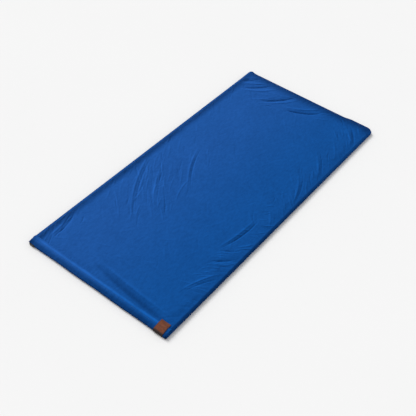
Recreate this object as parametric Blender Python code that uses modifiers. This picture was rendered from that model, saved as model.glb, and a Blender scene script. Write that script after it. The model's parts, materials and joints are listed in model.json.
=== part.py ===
"""Infrared sauna blanket: a flat bag of two padded halves, hinged along one long side by its fold.

The lower half lies on the floor and the upper half is the lid. Each holds wadding, a foil reflector, two
heating zones on felt and a waterproof liner. A side zip and a foot zip close the two free edges, the head
end stays open behind a rolled hem, and the controller's flat plug goes into an inlet at the foot.

Frame: +Y runs from the head end to the foot, +X from the zip side to the fold side, +Z up, the floor at 0.
Lengths are in metres.
"""

import math

import bmesh
import bpy
from mathutils import Vector

# Overall size, with the zip sliders and the leather tab counted
LENGTH = 1.800
WIDTH = 0.840
HALF_HEIGHT = 0.0110  # height of the plane where the two halves meet
GAP = 0.0003  # between touching pieces

# Covers
SKIN = 0.0010
LINER_GAP = 0.0009  # from the meeting plane to each liner
CORNER = 0.010
EDGE_ROUND = 0.0032
LEATHER = 0.0014
SLIDER_PROUD = 0.0075  # how far a zip slider stands out of its cover

ZIP_SIDE = -WIDTH / 2 + SLIDER_PROUD
FOLD_SIDE = WIDTH / 2
FOOT_END = LENGTH / 2 - SLIDER_PROUD
HEAD_END = -LENGTH / 2 + LEATHER + GAP

# Rolled hem across the head end of the lid
HEM_WIDTH = 0.038
HEM_BAND = 0.0045
ROLL = 0.0115
ROLL_BOTTOM = 0.0030
GARAGE_WIDTH = 0.030
GARAGE_TOP = 0.0168
LOWER_HEAD = HEAD_END + ROLL + 2 * GAP

# Padding layers, each as its height above the floor in the lower half: low, high
WADDING = (0.0013, 0.0045)
REFLECTOR = (0.0050, 0.0054)
WIRE_LEVEL = 0.0067
FELT = (0.0080, 0.0088)
LINER = (0.0091, HALF_HEIGHT - LINER_GAP)
PAD_ZIP_SIDE = ZIP_SIDE + 0.010
PAD_FOLD_SIDE = FOLD_SIDE - 0.008
PAD_FOOT = FOOT_END - 0.030

# Heating zones: the heating wire's runs cross the blanket
WIRE_RADIUS = 0.0009
WIRE_REACH = 0.335
RUN_PITCH = 0.080
RUNS = 10
ZONE_HEAD = {"torso": -0.770, "legs": 0.020}
FELT_MARGIN = 0.018
LEAD_RADIUS = 0.0011
LEAD_LEVEL = 0.0070
LEAD_CHANNEL = 0.379  # the innermost lead's distance from the middle
LEAD_PITCH = 0.007
JUNCTION = (0.032, 0.036, 0.0028)
JUNCTION_FOOT = 0.838

# Zips, measured from the middle of the closed chain
TAPE_THICK = 0.0008
TAPE_NEAR = 0.0035
TAPE_REACH = 0.0075
PIN_LENGTH = 0.010
RETAINER_LENGTH = 0.010
CHAIN_THICK = 0.0028
CHAIN_NEAR = 0.0007
CHAIN_FAR = 0.0032
PIN_THICK = 0.0018
PIN_FAR = 0.0026
RETAINER_THICK = 0.0036
STOP_LENGTH = 0.0032
TAPE_SPARE = 0.012  # tape past the chain's far end
SLIDER_LENGTH = 0.014
SLIDER_HALF_HEIGHT = 0.0048
SLIDER_PLATE = 0.0012
ARCH_HOLE = 0.0026
ARCH_BAR = 0.0011
PULLER = (0.032, 0.0080, 0.0013)
PULLER_WINDOW = 0.0034
WALL_AT_ZIP = 0.0057  # height of the lower cover's wall behind a zip
SIDE_ZIP_LENGTH = 1.700  # from the parked slider's middle to the chain's far end
FOOT_ZIP_LENGTH = 0.640
SIDE_ZIP_START = 0.8450  # y of the parked slider's middle
FOOT_ZIP_START = -0.3750  # x of the parked slider's middle

# Inlet for the controller's flat plug
INLET_X = 0.360
INLET_WIDTH = 0.056
INLET_MOUTH = 0.0312
INLET_DEPTH = 0.024
INLET_WALL = 0.0016
INLET_BOTTOM = 0.0014
INLET_TOP = 0.0099
BEZEL_WIDTH = 0.064
BEZEL_THICK = 0.0018
SCREW_OFFSET = 0.022
SCREW_REACH = 0.010
SUPPLY_X = 0.380

# Leather tab folded over the rolled hem
TAB_LOW_X = 0.354
TAB_HIGH_X = 0.406
TAB_REACH = 0.060

COLOURS = {
    "velour": ((0.012, 0.082, 0.319), 0.85, 0.0),
    "liner": ((0.012, 0.012, 0.014), 0.45, 0.0),
    "wadding": ((0.780, 0.770, 0.730), 0.95, 0.0),
    "foil": ((0.800, 0.800, 0.810), 0.25, 1.0),
    "felt": ((0.310, 0.320, 0.330), 0.95, 0.0),
    "heating_wire": ((0.550, 0.060, 0.040), 0.50, 0.0),
    "lead": ((0.030, 0.030, 0.032), 0.55, 0.0),
    "black_plastic": ((0.020, 0.020, 0.022), 0.40, 0.0),
    "contact": ((0.780, 0.570, 0.220), 0.25, 1.0),
    "steel": ((0.560, 0.570, 0.580), 0.30, 1.0),
    "zip_tape": ((0.010, 0.010, 0.011), 0.90, 0.0),
    "zip_teeth": ((0.018, 0.018, 0.020), 0.40, 0.0),
    "gunmetal": ((0.090, 0.090, 0.095), 0.35, 1.0),
    "leather": ((0.190, 0.060, 0.022), 0.55, 0.0),
    "garage": ((0.006, 0.006, 0.007), 0.80, 0.0),
}


def clear_scene():
    for obj in list(bpy.data.objects):
        bpy.data.objects.remove(obj)


def new_collection(name):
    collection = bpy.data.collections.new(name)
    bpy.context.scene.collection.children.link(collection)
    return collection


def new_material(name):
    colour, roughness, metallic = COLOURS[name]
    material = bpy.data.materials.new(name)
    material.use_nodes = True
    shader = material.node_tree.nodes["Principled BSDF"]
    shader.inputs["Base Color"].default_value = (*colour, 1.0)
    shader.inputs["Roughness"].default_value = roughness
    shader.inputs["Metallic"].default_value = metallic
    return material


clear_scene()
PARTS = new_collection("infrared_sauna_blanket")
CUTTERS = new_collection("cutters")
MATERIALS = {name: new_material(name) for name in COLOURS}


def add(name, mesh, material=None, location=(0, 0, 0), parent=None):
    """An object of the blanket, or a cutter where it has no material."""
    obj = bpy.data.objects.new(name, mesh)
    obj.location = location
    obj.parent = parent
    if material is None:
        CUTTERS.objects.link(obj)
        obj.hide_render = True
        obj.display_type = "WIRE"
    else:
        PARTS.objects.link(obj)
        obj.data.materials.append(MATERIALS[material])
    return obj


def to_mesh(name, bm):
    mesh = bpy.data.meshes.new(name)
    bm.to_mesh(mesh)
    bm.free()
    return mesh


def cube(size):
    bm = bmesh.new()
    bmesh.ops.create_cube(bm, size=1.0)
    bmesh.ops.scale(bm, vec=size, verts=bm.verts)
    return bm


def edges_along(bm, axis):
    """The edges that run along one axis of a box."""
    return [
        edge
        for edge in bm.edges
        if abs((edge.verts[0].co - edge.verts[1].co).normalized()[axis]) > 0.99
    ]


def bevel(bm, edges, radius, segments):
    bmesh.ops.bevel(
        bm, geom=edges, offset=radius, segments=segments, profile=0.5, affect="EDGES", material=-1
    )


def box(name, low, high, material=None, parent=None, round_axis=2, radius=0.0, segments=3):
    """A box between two corners, with the edges along one axis rounded."""
    low = Vector(low)
    high = Vector(high)
    bm = cube(high - low)
    if radius:
        bevel(bm, edges_along(bm, round_axis), radius, segments)
    return add(name, to_mesh(name, bm), material, (low + high) / 2, parent)


def cylinder(name, radius, length, location, axis, material=None, sides=16, parent=None):
    """A closed cylinder centred on its location, along X, Y or Z."""
    bm = bmesh.new()
    bmesh.ops.create_cone(
        bm, cap_ends=True, segments=sides, radius1=radius, radius2=radius, depth=length
    )
    obj = add(name, to_mesh(name, bm), material, location, parent)
    obj.rotation_euler = {"X": (0, math.pi / 2, 0), "Y": (math.pi / 2, 0, 0), "Z": (0, 0, 0)}[axis]
    return obj


def boolean(target, operation, others):
    for other in others:
        modifier = target.modifiers.new(operation.lower(), "BOOLEAN")
        modifier.operation = operation
        modifier.object = other
    return target


def fuse(name, pieces, material, parent=None):
    """One solid made of overlapping pieces, in the place of the first."""
    first = boolean(pieces[0], "UNION", pieces[1:])
    bpy.context.view_layer.update()
    graph = bpy.context.evaluated_depsgraph_get()
    mesh = bpy.data.meshes.new_from_object(first.evaluated_get(graph))
    mesh.materials.clear()
    obj = add(name, mesh, material, first.location.copy(), parent)
    for piece in pieces:
        bpy.data.objects.remove(piece)
    return obj


def tube(name, points, radius, material, parent=None, resolution=1):
    """A round wire or lead along a chain of points."""
    curve = bpy.data.curves.new(name, "CURVE")
    curve.dimensions = "3D"
    curve.bevel_depth = radius
    curve.bevel_resolution = resolution
    curve.use_fill_caps = True
    spline = curve.splines.new("POLY")
    spline.points.add(len(points) - 1)
    for place, point in zip(spline.points, points):
        place.co = (*point, 1.0)
    return add(name, curve, material, parent=parent)


def arc(centre, radius, start, end, steps):
    """Points of an arc in a plane, angles in radians, both ends included."""
    turn = (end - start) / steps
    return [
        (
            centre[0] + radius * math.cos(start + turn * i),
            centre[1] + radius * math.sin(start + turn * i),
        )
        for i in range(steps + 1)
    ]


def in_half(layer, upper):
    """A layer's low and high z in the lower half, or mirrored into the upper half."""
    low, high = layer
    if upper:
        return 2 * HALF_HEIGHT - high, 2 * HALF_HEIGHT - low
    return low, high


def height_in_half(height, upper):
    return 2 * HALF_HEIGHT - height if upper else height


# ---------------------------------------------------------------- covers


def tray(name, low, high, open_top, material):
    """A cover with one flat panel and four walls: a box with its open face removed, thickened inwards."""
    low = Vector(low)
    high = Vector(high)
    bm = cube(high - low)
    bevel(bm, edges_along(bm, 2), CORNER, 4)
    panel_side = -1 if open_top else 1
    panel = [f for f in bm.faces if f.normal.z * panel_side > 0.9][0]
    mouth = [f for f in bm.faces if f.normal.z * panel_side < -0.9]
    bevel(bm, list(panel.edges), EDGE_ROUND, 3)
    bmesh.ops.delete(bm, geom=mouth, context="FACES_ONLY")
    cover = add(name, to_mesh(name, bm), material, (low + high) / 2)
    thickness = cover.modifiers.new("fabric thickness", "SOLIDIFY")
    thickness.thickness = SKIN
    thickness.offset = -1
    thickness.use_even_offset = True
    return cover


def zip_slot_cutters(upper):
    """Boxes that lower a cover's walls behind the two zips."""
    past = 0.020
    half = "upper" if upper else "lower"
    slot = in_half((WALL_AT_ZIP, HALF_HEIGHT + past), upper)
    side = box(
        f"{half}_side_zip_slot",
        (ZIP_SIDE - past, LOWER_HEAD - 2 * past if upper else LOWER_HEAD + 0.012, slot[0]),
        (ZIP_SIDE + 2 * SKIN, FOOT_END - CORNER, slot[1]),
    )
    foot = box(
        f"{half}_foot_zip_slot",
        (ZIP_SIDE + CORNER, FOOT_END - 2 * SKIN, slot[0]),
        (FOOT_ZIP_START + FOOT_ZIP_LENGTH + past, FOOT_END + past, slot[1]),
    )
    return [side, foot]


def lower_cover():
    cover = tray(
        "lower_cover", (ZIP_SIDE, LOWER_HEAD, 0), (FOLD_SIDE, FOOT_END, LINER[1] + GAP / 3), True, "velour"
    )
    inlet_notch = box(
        "inlet_notch",
        (INLET_X - INLET_WIDTH / 2 - GAP, FOOT_END - EDGE_ROUND - SKIN, INLET_BOTTOM - GAP),
        (INLET_X + INLET_WIDTH / 2 + GAP, FOOT_END + 2 * SKIN, HALF_HEIGHT),
    )
    return boolean(cover, "DIFFERENCE", [*zip_slot_cutters(False), inlet_notch])


def upper_cover():
    """The lid's top panel and its walls. Its head edge butts against the rolled hem."""
    low_z = 2 * HALF_HEIGHT - LINER[1] - GAP / 3
    head = HEAD_END + HEM_WIDTH + GAP
    low = (ZIP_SIDE, head - CORNER, low_z)
    cover = tray("upper_cover", low, (FOLD_SIDE, FOOT_END, 2 * HALF_HEIGHT), False, "velour")
    head_cut = box(
        "upper_head_cut",
        (ZIP_SIDE - CORNER, head - 2 * CORNER, 0),
        (FOLD_SIDE + CORNER, head, 3 * HALF_HEIGHT),
    )
    return boolean(cover, "DIFFERENCE", [*zip_slot_cutters(True), head_cut])


def head_hem():
    """The rolled hem across the lid's head end: a flat band on top and a roll that hangs in front."""
    top = 2 * HALF_HEIGHT
    band = box(
        "hem_band",
        (ZIP_SIDE, HEAD_END, top - HEM_BAND),
        (FOLD_SIDE, HEAD_END + HEM_WIDTH, top),
        "velour",
        round_axis=0,
        radius=0.0020,
        segments=2,
    )
    roll = box(
        "hem_roll",
        (ZIP_SIDE + GARAGE_WIDTH + 2 * GAP, HEAD_END, ROLL_BOTTOM),
        (FOLD_SIDE, HEAD_END + ROLL, top),
        "velour",
        round_axis=0,
        radius=0.004,
    )
    return fuse("head_hem", [band, roll], "velour")


def zip_garage():
    """A black pocket at the head corner that the side zip's slider parks behind."""
    return box(
        "zip_garage",
        (ZIP_SIDE, HEAD_END, 2 * GAP),
        (ZIP_SIDE + GARAGE_WIDTH, HEAD_END + ROLL, GARAGE_TOP),
        "garage",
        radius=0.0035,
        segments=3,
    )


def leather_tab():
    """A strip folded over the rolled hem: a long leaf on top, the fold in front and a short leaf beneath."""
    top = 2 * HALF_HEIGHT + GAP + LEATHER / 2
    bottom = ROLL_BOTTOM - GAP - LEATHER / 2
    front = HEAD_END - GAP - LEATHER / 2
    bend = 0.0022
    profile = [(HEAD_END + TAB_REACH, top), (front + bend, top)]
    profile += arc((front + bend, top - bend), bend, math.pi / 2, math.pi, 4)[1:]
    profile += arc((front + bend, bottom + bend), bend, math.pi, 1.5 * math.pi, 4)
    profile += [(HEAD_END + ROLL - 0.001, bottom)]
    bm = bmesh.new()
    corners = [bm.verts.new((TAB_LOW_X, y, z)) for y, z in profile]
    edges = [bm.edges.new(pair) for pair in zip(corners, corners[1:])]
    sheet = bmesh.ops.extrude_edge_only(bm, edges=edges)
    moved = [v for v in sheet["geom"] if isinstance(v, bmesh.types.BMVert)]
    bmesh.ops.translate(bm, vec=(TAB_HIGH_X - TAB_LOW_X, 0, 0), verts=moved)
    tab = add("leather_tab", to_mesh("leather_tab", bm), "leather")
    thickness = tab.modifiers.new("leather thickness", "SOLIDIFY")
    thickness.thickness = LEATHER
    thickness.offset = 0
    return tab


# ---------------------------------------------------------------- padding


def padding(upper):
    """The wadding, the foil reflector and the waterproof liner of one half."""
    half = "upper" if upper else "lower"
    head = HEAD_END + HEM_WIDTH + 0.004 if upper else LOWER_HEAD + 0.008
    for name, layer, material, inset in (
        ("wadding", WADDING, "wadding", 0.0),
        ("reflector", REFLECTOR, "foil", 0.004),
        ("liner", LINER, "liner", -0.005),
    ):
        low_z, high_z = in_half(layer, upper)
        box(
            f"{half}_{name}",
            (PAD_ZIP_SIDE + inset, head + inset, low_z),
            (PAD_FOLD_SIDE - inset, PAD_FOOT - inset, high_z),
            material,
            radius=CORNER / 2,
            segments=2,
        )


def serpentine(head):
    """The heating wire's path: runs across the blanket joined by half turns, both ends on the fold side."""
    turn = RUN_PITCH / 2
    path = []
    for run in range(RUNS):
        y = head + run * RUN_PITCH
        towards_zip = run % 2 == 0
        ends = [(WIRE_REACH, y), (-WIRE_REACH, y)]
        path += ends if towards_zip else ends[::-1]
        if run < RUNS - 1:
            side = -1 if towards_zip else 1
            centre = (side * WIRE_REACH, y + turn)
            path += arc(centre, turn, -math.pi / 2, -math.pi / 2 + side * math.pi, 5)[1:-1]
    return path


def heating_zone(name, upper):
    """One zone's felt and heating wire, and the y of the wire's two ends."""
    half = "upper" if upper else "lower"
    head = ZONE_HEAD[name]
    foot = head + (RUNS - 1) * RUN_PITCH
    z = height_in_half(WIRE_LEVEL, upper)
    path = [(x, y, z) for x, y in serpentine(head)]
    lead_in = WIRE_REACH + 0.010
    path = [(lead_in, head, z), *path, (lead_in, foot, z)]
    tube(f"{half}_{name}_heating_wire", path, WIRE_RADIUS, "heating_wire")
    low_z, high_z = in_half(FELT, upper)
    reach = WIRE_REACH + RUN_PITCH / 2 - FELT_MARGIN / 2
    box(
        f"{half}_{name}_heating_felt",
        (-reach, head - FELT_MARGIN, low_z),
        (WIRE_REACH, foot + FELT_MARGIN, high_z),
        "felt",
    )
    return foot, head


def supply_leads(upper, ends):
    """Leads from the junction box to the wires' ends, in nested channels so that none crosses another."""
    half = "upper" if upper else "lower"
    z = height_in_half(LEAD_LEVEL, upper)
    bend = 0.004
    start = JUNCTION_FOOT - JUNCTION[1] - GAP
    for channel, (label, end_y) in enumerate(ends):
        x = LEAD_CHANNEL + channel * LEAD_PITCH
        corner = arc((x - bend, end_y + bend), bend, 0, -math.pi / 2, 3)
        route = [(x, start), *corner, (WIRE_REACH + 0.010 + GAP, end_y)]
        tube(f"{half}_{label}", [(px, py, z) for px, py in route], LEAD_RADIUS, "lead")


def junction_box(upper):
    """The moulded box where a half's leads join the supply."""
    half = "upper" if upper else "lower"
    width, depth, height = JUNCTION
    low_z, high_z = in_half((REFLECTOR[1] + GAP, REFLECTOR[1] + GAP + height), upper)
    low_x = LEAD_CHANNEL - 0.005
    box(
        f"{half}_junction_box",
        (low_x, JUNCTION_FOOT - depth, low_z),
        (low_x + width, JUNCTION_FOOT, high_z),
        "black_plastic",
        radius=0.002,
        segments=2,
    )


def temperature_sensor(name):
    """A thermistor capsule between two runs of a lower zone's heating wire."""
    y = ZONE_HEAD[name] + (RUNS / 2 - 0.5) * RUN_PITCH
    half_size = Vector((0.006, 0.003, WIRE_RADIUS))
    centre = Vector((0.0, y, WIRE_LEVEL))
    box(
        f"lower_{name}_temperature_sensor",
        centre - half_size,
        centre + half_size,
        "black_plastic",
        radius=0.0015,
        segments=2,
    )


def electrics(upper):
    legs_foot, legs_head = heating_zone("legs", upper)
    torso_foot, torso_head = heating_zone("torso", upper)
    junction_box(upper)
    ends = (
        ("legs_supply_lead", legs_foot),
        ("legs_return_lead", legs_head),
        ("torso_supply_lead", torso_foot),
        ("torso_return_lead", torso_head),
    )
    supply_leads(upper, ends)


# ---------------------------------------------------------------- inlet


def inlet():
    """The flat socket at the foot: its housing, contacts, bezel and two screws, and the lead behind it."""
    low_x = INLET_X - INLET_WIDTH / 2
    high_x = INLET_X + INLET_WIDTH / 2
    back = FOOT_END - INLET_DEPTH
    mouth = FOOT_END + GAP
    cavity_low = (INLET_X - INLET_MOUTH / 2, back + INLET_WALL, INLET_BOTTOM + INLET_WALL)
    cavity_high = (INLET_X + INLET_MOUTH / 2, mouth + 0.010, INLET_TOP - INLET_WALL)
    cavity = box("inlet_cavity", cavity_low, cavity_high)
    housing = box(
        "inlet_housing",
        (low_x, back, INLET_BOTTOM),
        (high_x, FOOT_END, INLET_TOP),
        "black_plastic",
        round_axis=1,
        radius=0.0010,
        segments=2,
    )
    middle_z = (INLET_BOTTOM + INLET_TOP) / 2
    hole_length = 2 * SCREW_REACH
    hole_y = FOOT_END - SCREW_REACH - GAP + hole_length / 2
    screw_x = {"zip": INLET_X - SCREW_OFFSET, "fold": INLET_X + SCREW_OFFSET}
    holes = [
        cylinder(f"screw_hole_{side}", 0.0011, hole_length, (x, hole_y, middle_z), "Y")
        for side, x in screw_x.items()
    ]
    boolean(housing, "DIFFERENCE", [cavity, *holes])

    block_back = back + INLET_WALL + GAP
    block = box(
        "contact_block",
        (cavity_low[0] + GAP, block_back, cavity_low[2] + GAP),
        (cavity_high[0] - GAP, block_back + 0.002, cavity_high[2] - GAP),
        "contact",
    )
    blades = []
    blade_pitch = 0.0075
    for place in range(4):
        x = INLET_X + (place - 1.5) * blade_pitch
        blades.append(
            box(
                f"blade_{place}",
                (x - 0.0014, block_back + 0.001, middle_z - 0.0005),
                (x + 0.0014, block_back + 0.0090, middle_z + 0.0005),
                "contact",
            )
        )
    fuse("inlet_contacts", [block, *blades], "contact")

    bezel = box(
        "inlet_bezel",
        (INLET_X - BEZEL_WIDTH / 2, mouth, 3 * GAP),
        (INLET_X + BEZEL_WIDTH / 2, mouth + BEZEL_THICK, HALF_HEIGHT - 3 * GAP),
        "black_plastic",
        round_axis=1,
        radius=0.0030,
        segments=3,
    )
    boolean(bezel, "DIFFERENCE", [cavity, *holes])
    for side, name in ((-1, "inlet_screw_zip_side"), (1, "inlet_screw_fold_side")):
        x = INLET_X + side * SCREW_OFFSET
        head_y = mouth + BEZEL_THICK + GAP
        head = cylinder(f"{name}_head", 0.0018, 0.0010, (x, head_y + 0.0005, middle_z), "Y", "steel")
        shank_end = FOOT_END - SCREW_REACH
        shank_length = head_y + 0.0005 - shank_end
        shank = cylinder(
            f"{name}_shank", 0.0008, shank_length, (x, shank_end + shank_length / 2, middle_z), "Y", "steel"
        )
        bpy.context.view_layer.update()
        screw = fuse(name, [head, shank], "steel")
        screw.rotation_euler = (math.pi / 2, 0, 0)

    cutout_length = 0.011
    cutout_y = JUNCTION_FOOT + GAP + cutout_length / 2
    cylinder("thermal_cutout", 0.0013, cutout_length, (SUPPLY_X, cutout_y, LEAD_LEVEL), "Y", "steel", 12)
    lead_start = cutout_y + cutout_length / 2 + GAP
    tube(
        "inlet_lead",
        [(SUPPLY_X, lead_start, LEAD_LEVEL), (SUPPLY_X, back - GAP, LEAD_LEVEL)],
        LEAD_RADIUS,
        "lead",
    )


# ---------------------------------------------------------------- zips


def zip_frame(name, location, turn):
    """An empty at the parked slider's middle: its X runs along the zip, its Y points out of the blanket."""
    empty = bpy.data.objects.new(name, None)
    empty.location = location
    empty.rotation_euler = (0, 0, turn)
    PARTS.objects.link(empty)
    return empty


def slider(name, frame):
    """Two plates either side of the chain, the post between them and the arch that holds the puller."""
    half = SLIDER_LENGTH / 2
    inner = CHAIN_THICK / 2 + GAP
    outer = inner + SLIDER_PLATE
    tall = SLIDER_HALF_HEIGHT
    front_plate = box(
        "front_plate", (-half, inner, -tall), (half, outer, tall), "gunmetal", round_axis=1, radius=0.0022
    )
    back_plate = box(
        "back_plate", (-half, -outer, -tall), (half, -inner, tall), "gunmetal", round_axis=1, radius=0.0022
    )
    post_half = CHAIN_NEAR - GAP
    post = box(
        "post", (-0.0020, -inner - 0.0005, -post_half), (0.0020, inner + 0.0005, post_half), "gunmetal"
    )
    arch_half = 0.0016
    arch_x = ARCH_HOLE / 2 + 0.0022
    arch_out = outer + ARCH_HOLE + ARCH_BAR
    arch = box(
        "arch",
        (-arch_x, outer - 0.0005, -arch_half),
        (arch_x, arch_out, arch_half),
        "gunmetal",
        round_axis=2,
        radius=0.0014,
    )
    hole = box(
        f"{name}_arch_hole",
        (-ARCH_HOLE / 2 - 0.0002, outer, -2 * arch_half),
        (ARCH_HOLE / 2 + 0.0002, outer + ARCH_HOLE, 2 * arch_half),
    )
    arch = boolean(arch, "DIFFERENCE", [hole])
    for piece in (front_plate, back_plate, post, arch):
        centre = piece.location.copy()
        piece.data.transform(piece.matrix_basis)
        piece.location -= centre
    return fuse(name, [front_plate, back_plate, post, arch], "gunmetal", frame)


def puller(name, frame):
    """A flat pull whose end bar turns in the slider's arch. Its origin is on the bar."""
    length, height, thick = PULLER
    pivot_y = CHAIN_THICK / 2 + GAP + SLIDER_PLATE + ARCH_HOLE / 2
    plate = box(
        name,
        (-thick / 2, -thick / 2, -height / 2),
        (length, thick / 2, height / 2),
        "gunmetal",
        frame,
        round_axis=1,
        radius=0.0006,
        segments=1,
    )
    plate.data.transform(plate.matrix_basis)
    plate.location = (0, pivot_y, 0)
    window = box(
        f"{name}_window",
        (thick / 2, -thick, -PULLER_WINDOW / 2 - GAP),
        (thick / 2 + 0.0062, thick, PULLER_WINDOW / 2 + GAP),
        parent=frame,
        round_axis=1,
    )
    window.location.y = pivot_y
    finger_slot = box(
        f"{name}_finger_slot",
        (length - 0.0150, -thick, -0.0022),
        (length - 0.0035, thick, 0.0022),
        parent=frame,
        round_axis=1,
        radius=0.0018,
    )
    finger_slot.location.y = pivot_y
    return boolean(plate, "DIFFERENCE", [window, finger_slot])


def zip_half(name, frame, length, towards, upper):
    """One half's tape, chain and top stop, with the lower half's retainer box or the lid's insertion pin.

    The undone slider is parked on the lower chain, next to the retainer box. The lid's chain starts past it.
    """
    side = 1 if upper else -1
    half = "upper" if upper else "lower"

    def strip(label, start, end, thick, near, far, material, radius=0.0):
        x = sorted((towards * start, towards * end))
        z = sorted((side * near, side * far))
        box(
            f"{name}_{label}_{half}",
            (x[0], -thick / 2, z[0]),
            (x[1], thick / 2, z[1]),
            material,
            frame,
            round_axis=0,
            radius=radius,
            segments=2,
        )

    box_end = -SLIDER_LENGTH / 2 - GAP
    clear = SLIDER_LENGTH / 2 + 2 * GAP
    chain_start = clear + PIN_LENGTH + GAP if upper else box_end + GAP
    box_start = box_end - RETAINER_LENGTH
    stop_end = length + GAP + STOP_LENGTH
    strip("tape", box_start, length + TAPE_SPARE, TAPE_THICK, TAPE_NEAR, TAPE_REACH, "zip_tape")
    strip("chain", chain_start, length, CHAIN_THICK, CHAIN_NEAR, CHAIN_FAR, "zip_teeth", 0.0006)
    strip("top_stop", length + GAP, stop_end, CHAIN_THICK, CHAIN_NEAR, CHAIN_FAR, "gunmetal", 0.0004)
    if upper:
        pin_end = clear + PIN_LENGTH
        strip("insertion_pin", clear, pin_end, PIN_THICK, CHAIN_NEAR, PIN_FAR, "gunmetal", 0.0004)
    else:
        box_near = CHAIN_NEAR / 2
        strip("retainer_box", box_start, box_end, RETAINER_THICK, box_near, CHAIN_FAR, "gunmetal", 0.0006)


def build_zip(name, location, turn, length, towards):
    """A whole zip. Its frame's +X or -X is the way that the slider closes it."""
    frame = zip_frame(f"{name}_frame", location, turn)
    zip_half(name, frame, length, towards, False)
    zip_half(name, frame, length, towards, True)
    slider(f"{name}_slider", frame)
    puller(f"{name}_puller", frame)


def zips():
    standoff = TAPE_THICK / 2 + GAP
    side_place = (ZIP_SIDE - standoff, SIDE_ZIP_START, HALF_HEIGHT)
    foot_place = (FOOT_ZIP_START, FOOT_END + standoff, HALF_HEIGHT)
    build_zip("side_zip", side_place, math.pi / 2, SIDE_ZIP_LENGTH, -1)
    build_zip("foot_zip", foot_place, 0.0, FOOT_ZIP_LENGTH, 1)


def main():
    lower_cover()
    upper_cover()
    head_hem()
    zip_garage()
    leather_tab()
    for upper in (False, True):
        padding(upper)
        electrics(upper)
    for name in ZONE_HEAD:
        temperature_sensor(name)
    inlet()
    zips()


main()
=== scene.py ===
"""The looks of an infrared sauna blanket: covers, hem, fold, liners, leather tab and zips, around its frame.

Lengths are in metres. Along means from the head end to the foot. Across means from the zip side to the fold
side.
"""

import json
import math
import random

import bmesh
import bpy
import numpy as np
from bpy.props import FloatProperty, FloatVectorProperty, IntProperty, PointerProperty
from mathutils import Matrix, Vector, noise
from mathutils.bvhtree import BVHTree


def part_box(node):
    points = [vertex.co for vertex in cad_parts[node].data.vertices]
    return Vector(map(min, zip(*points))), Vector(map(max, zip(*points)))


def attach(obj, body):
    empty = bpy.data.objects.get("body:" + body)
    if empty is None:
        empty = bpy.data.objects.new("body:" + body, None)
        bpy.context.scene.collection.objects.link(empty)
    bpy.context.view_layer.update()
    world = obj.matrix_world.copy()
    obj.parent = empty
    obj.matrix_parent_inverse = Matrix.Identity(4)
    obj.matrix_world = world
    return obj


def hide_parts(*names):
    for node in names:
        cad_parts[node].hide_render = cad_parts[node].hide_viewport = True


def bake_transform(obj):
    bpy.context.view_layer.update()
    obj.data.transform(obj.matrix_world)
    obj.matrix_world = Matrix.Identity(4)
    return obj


bl_info = {
    "name": "Infrared Sauna Blanket",
    "version": (1, 0, 0),
    "blender": (4, 5, 0),
    "location": "View3D > Sidebar > Sauna Blanket",
    "description": "Builds the soft goods and finishes of a folded infrared sauna blanket around its frame",
    "category": "Add Mesh",
}

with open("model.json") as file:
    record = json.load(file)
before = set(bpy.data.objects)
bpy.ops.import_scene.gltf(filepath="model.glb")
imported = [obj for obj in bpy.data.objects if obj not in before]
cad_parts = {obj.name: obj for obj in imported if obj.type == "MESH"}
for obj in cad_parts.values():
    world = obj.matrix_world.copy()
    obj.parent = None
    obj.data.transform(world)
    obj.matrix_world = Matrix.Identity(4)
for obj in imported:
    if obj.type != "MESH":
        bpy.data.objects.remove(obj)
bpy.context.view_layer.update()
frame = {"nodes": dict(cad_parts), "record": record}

LID_LOW, LID_HIGH = (Vector(corner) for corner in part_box("upper_cover"))
BASE_LOW, BASE_HIGH = (Vector(corner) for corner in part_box("lower_cover"))
HEM_LOW, HEM_HIGH = (Vector(corner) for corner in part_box("head_hem"))
TAB_LOW, TAB_HIGH = (Vector(corner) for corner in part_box("leather_tab"))
GARAGE_LOW, GARAGE_HIGH = (Vector(corner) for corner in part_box("zip_garage"))
MEETING = (BASE_HIGH.z + LID_LOW.z) / 2
LENGTH = LID_HIGH.y - HEM_LOW.y
WIDTH = LID_HIGH.x - LID_LOW.x
LIP_REACH = 0.009  # how far a cover turns in over its liner's edge
LIP_DEPTH = 0.0036  # how far that turned-in lip goes back into the padding
ZIP_CLEAR = 0.0004  # between a slider and the lid's wall behind it

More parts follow.
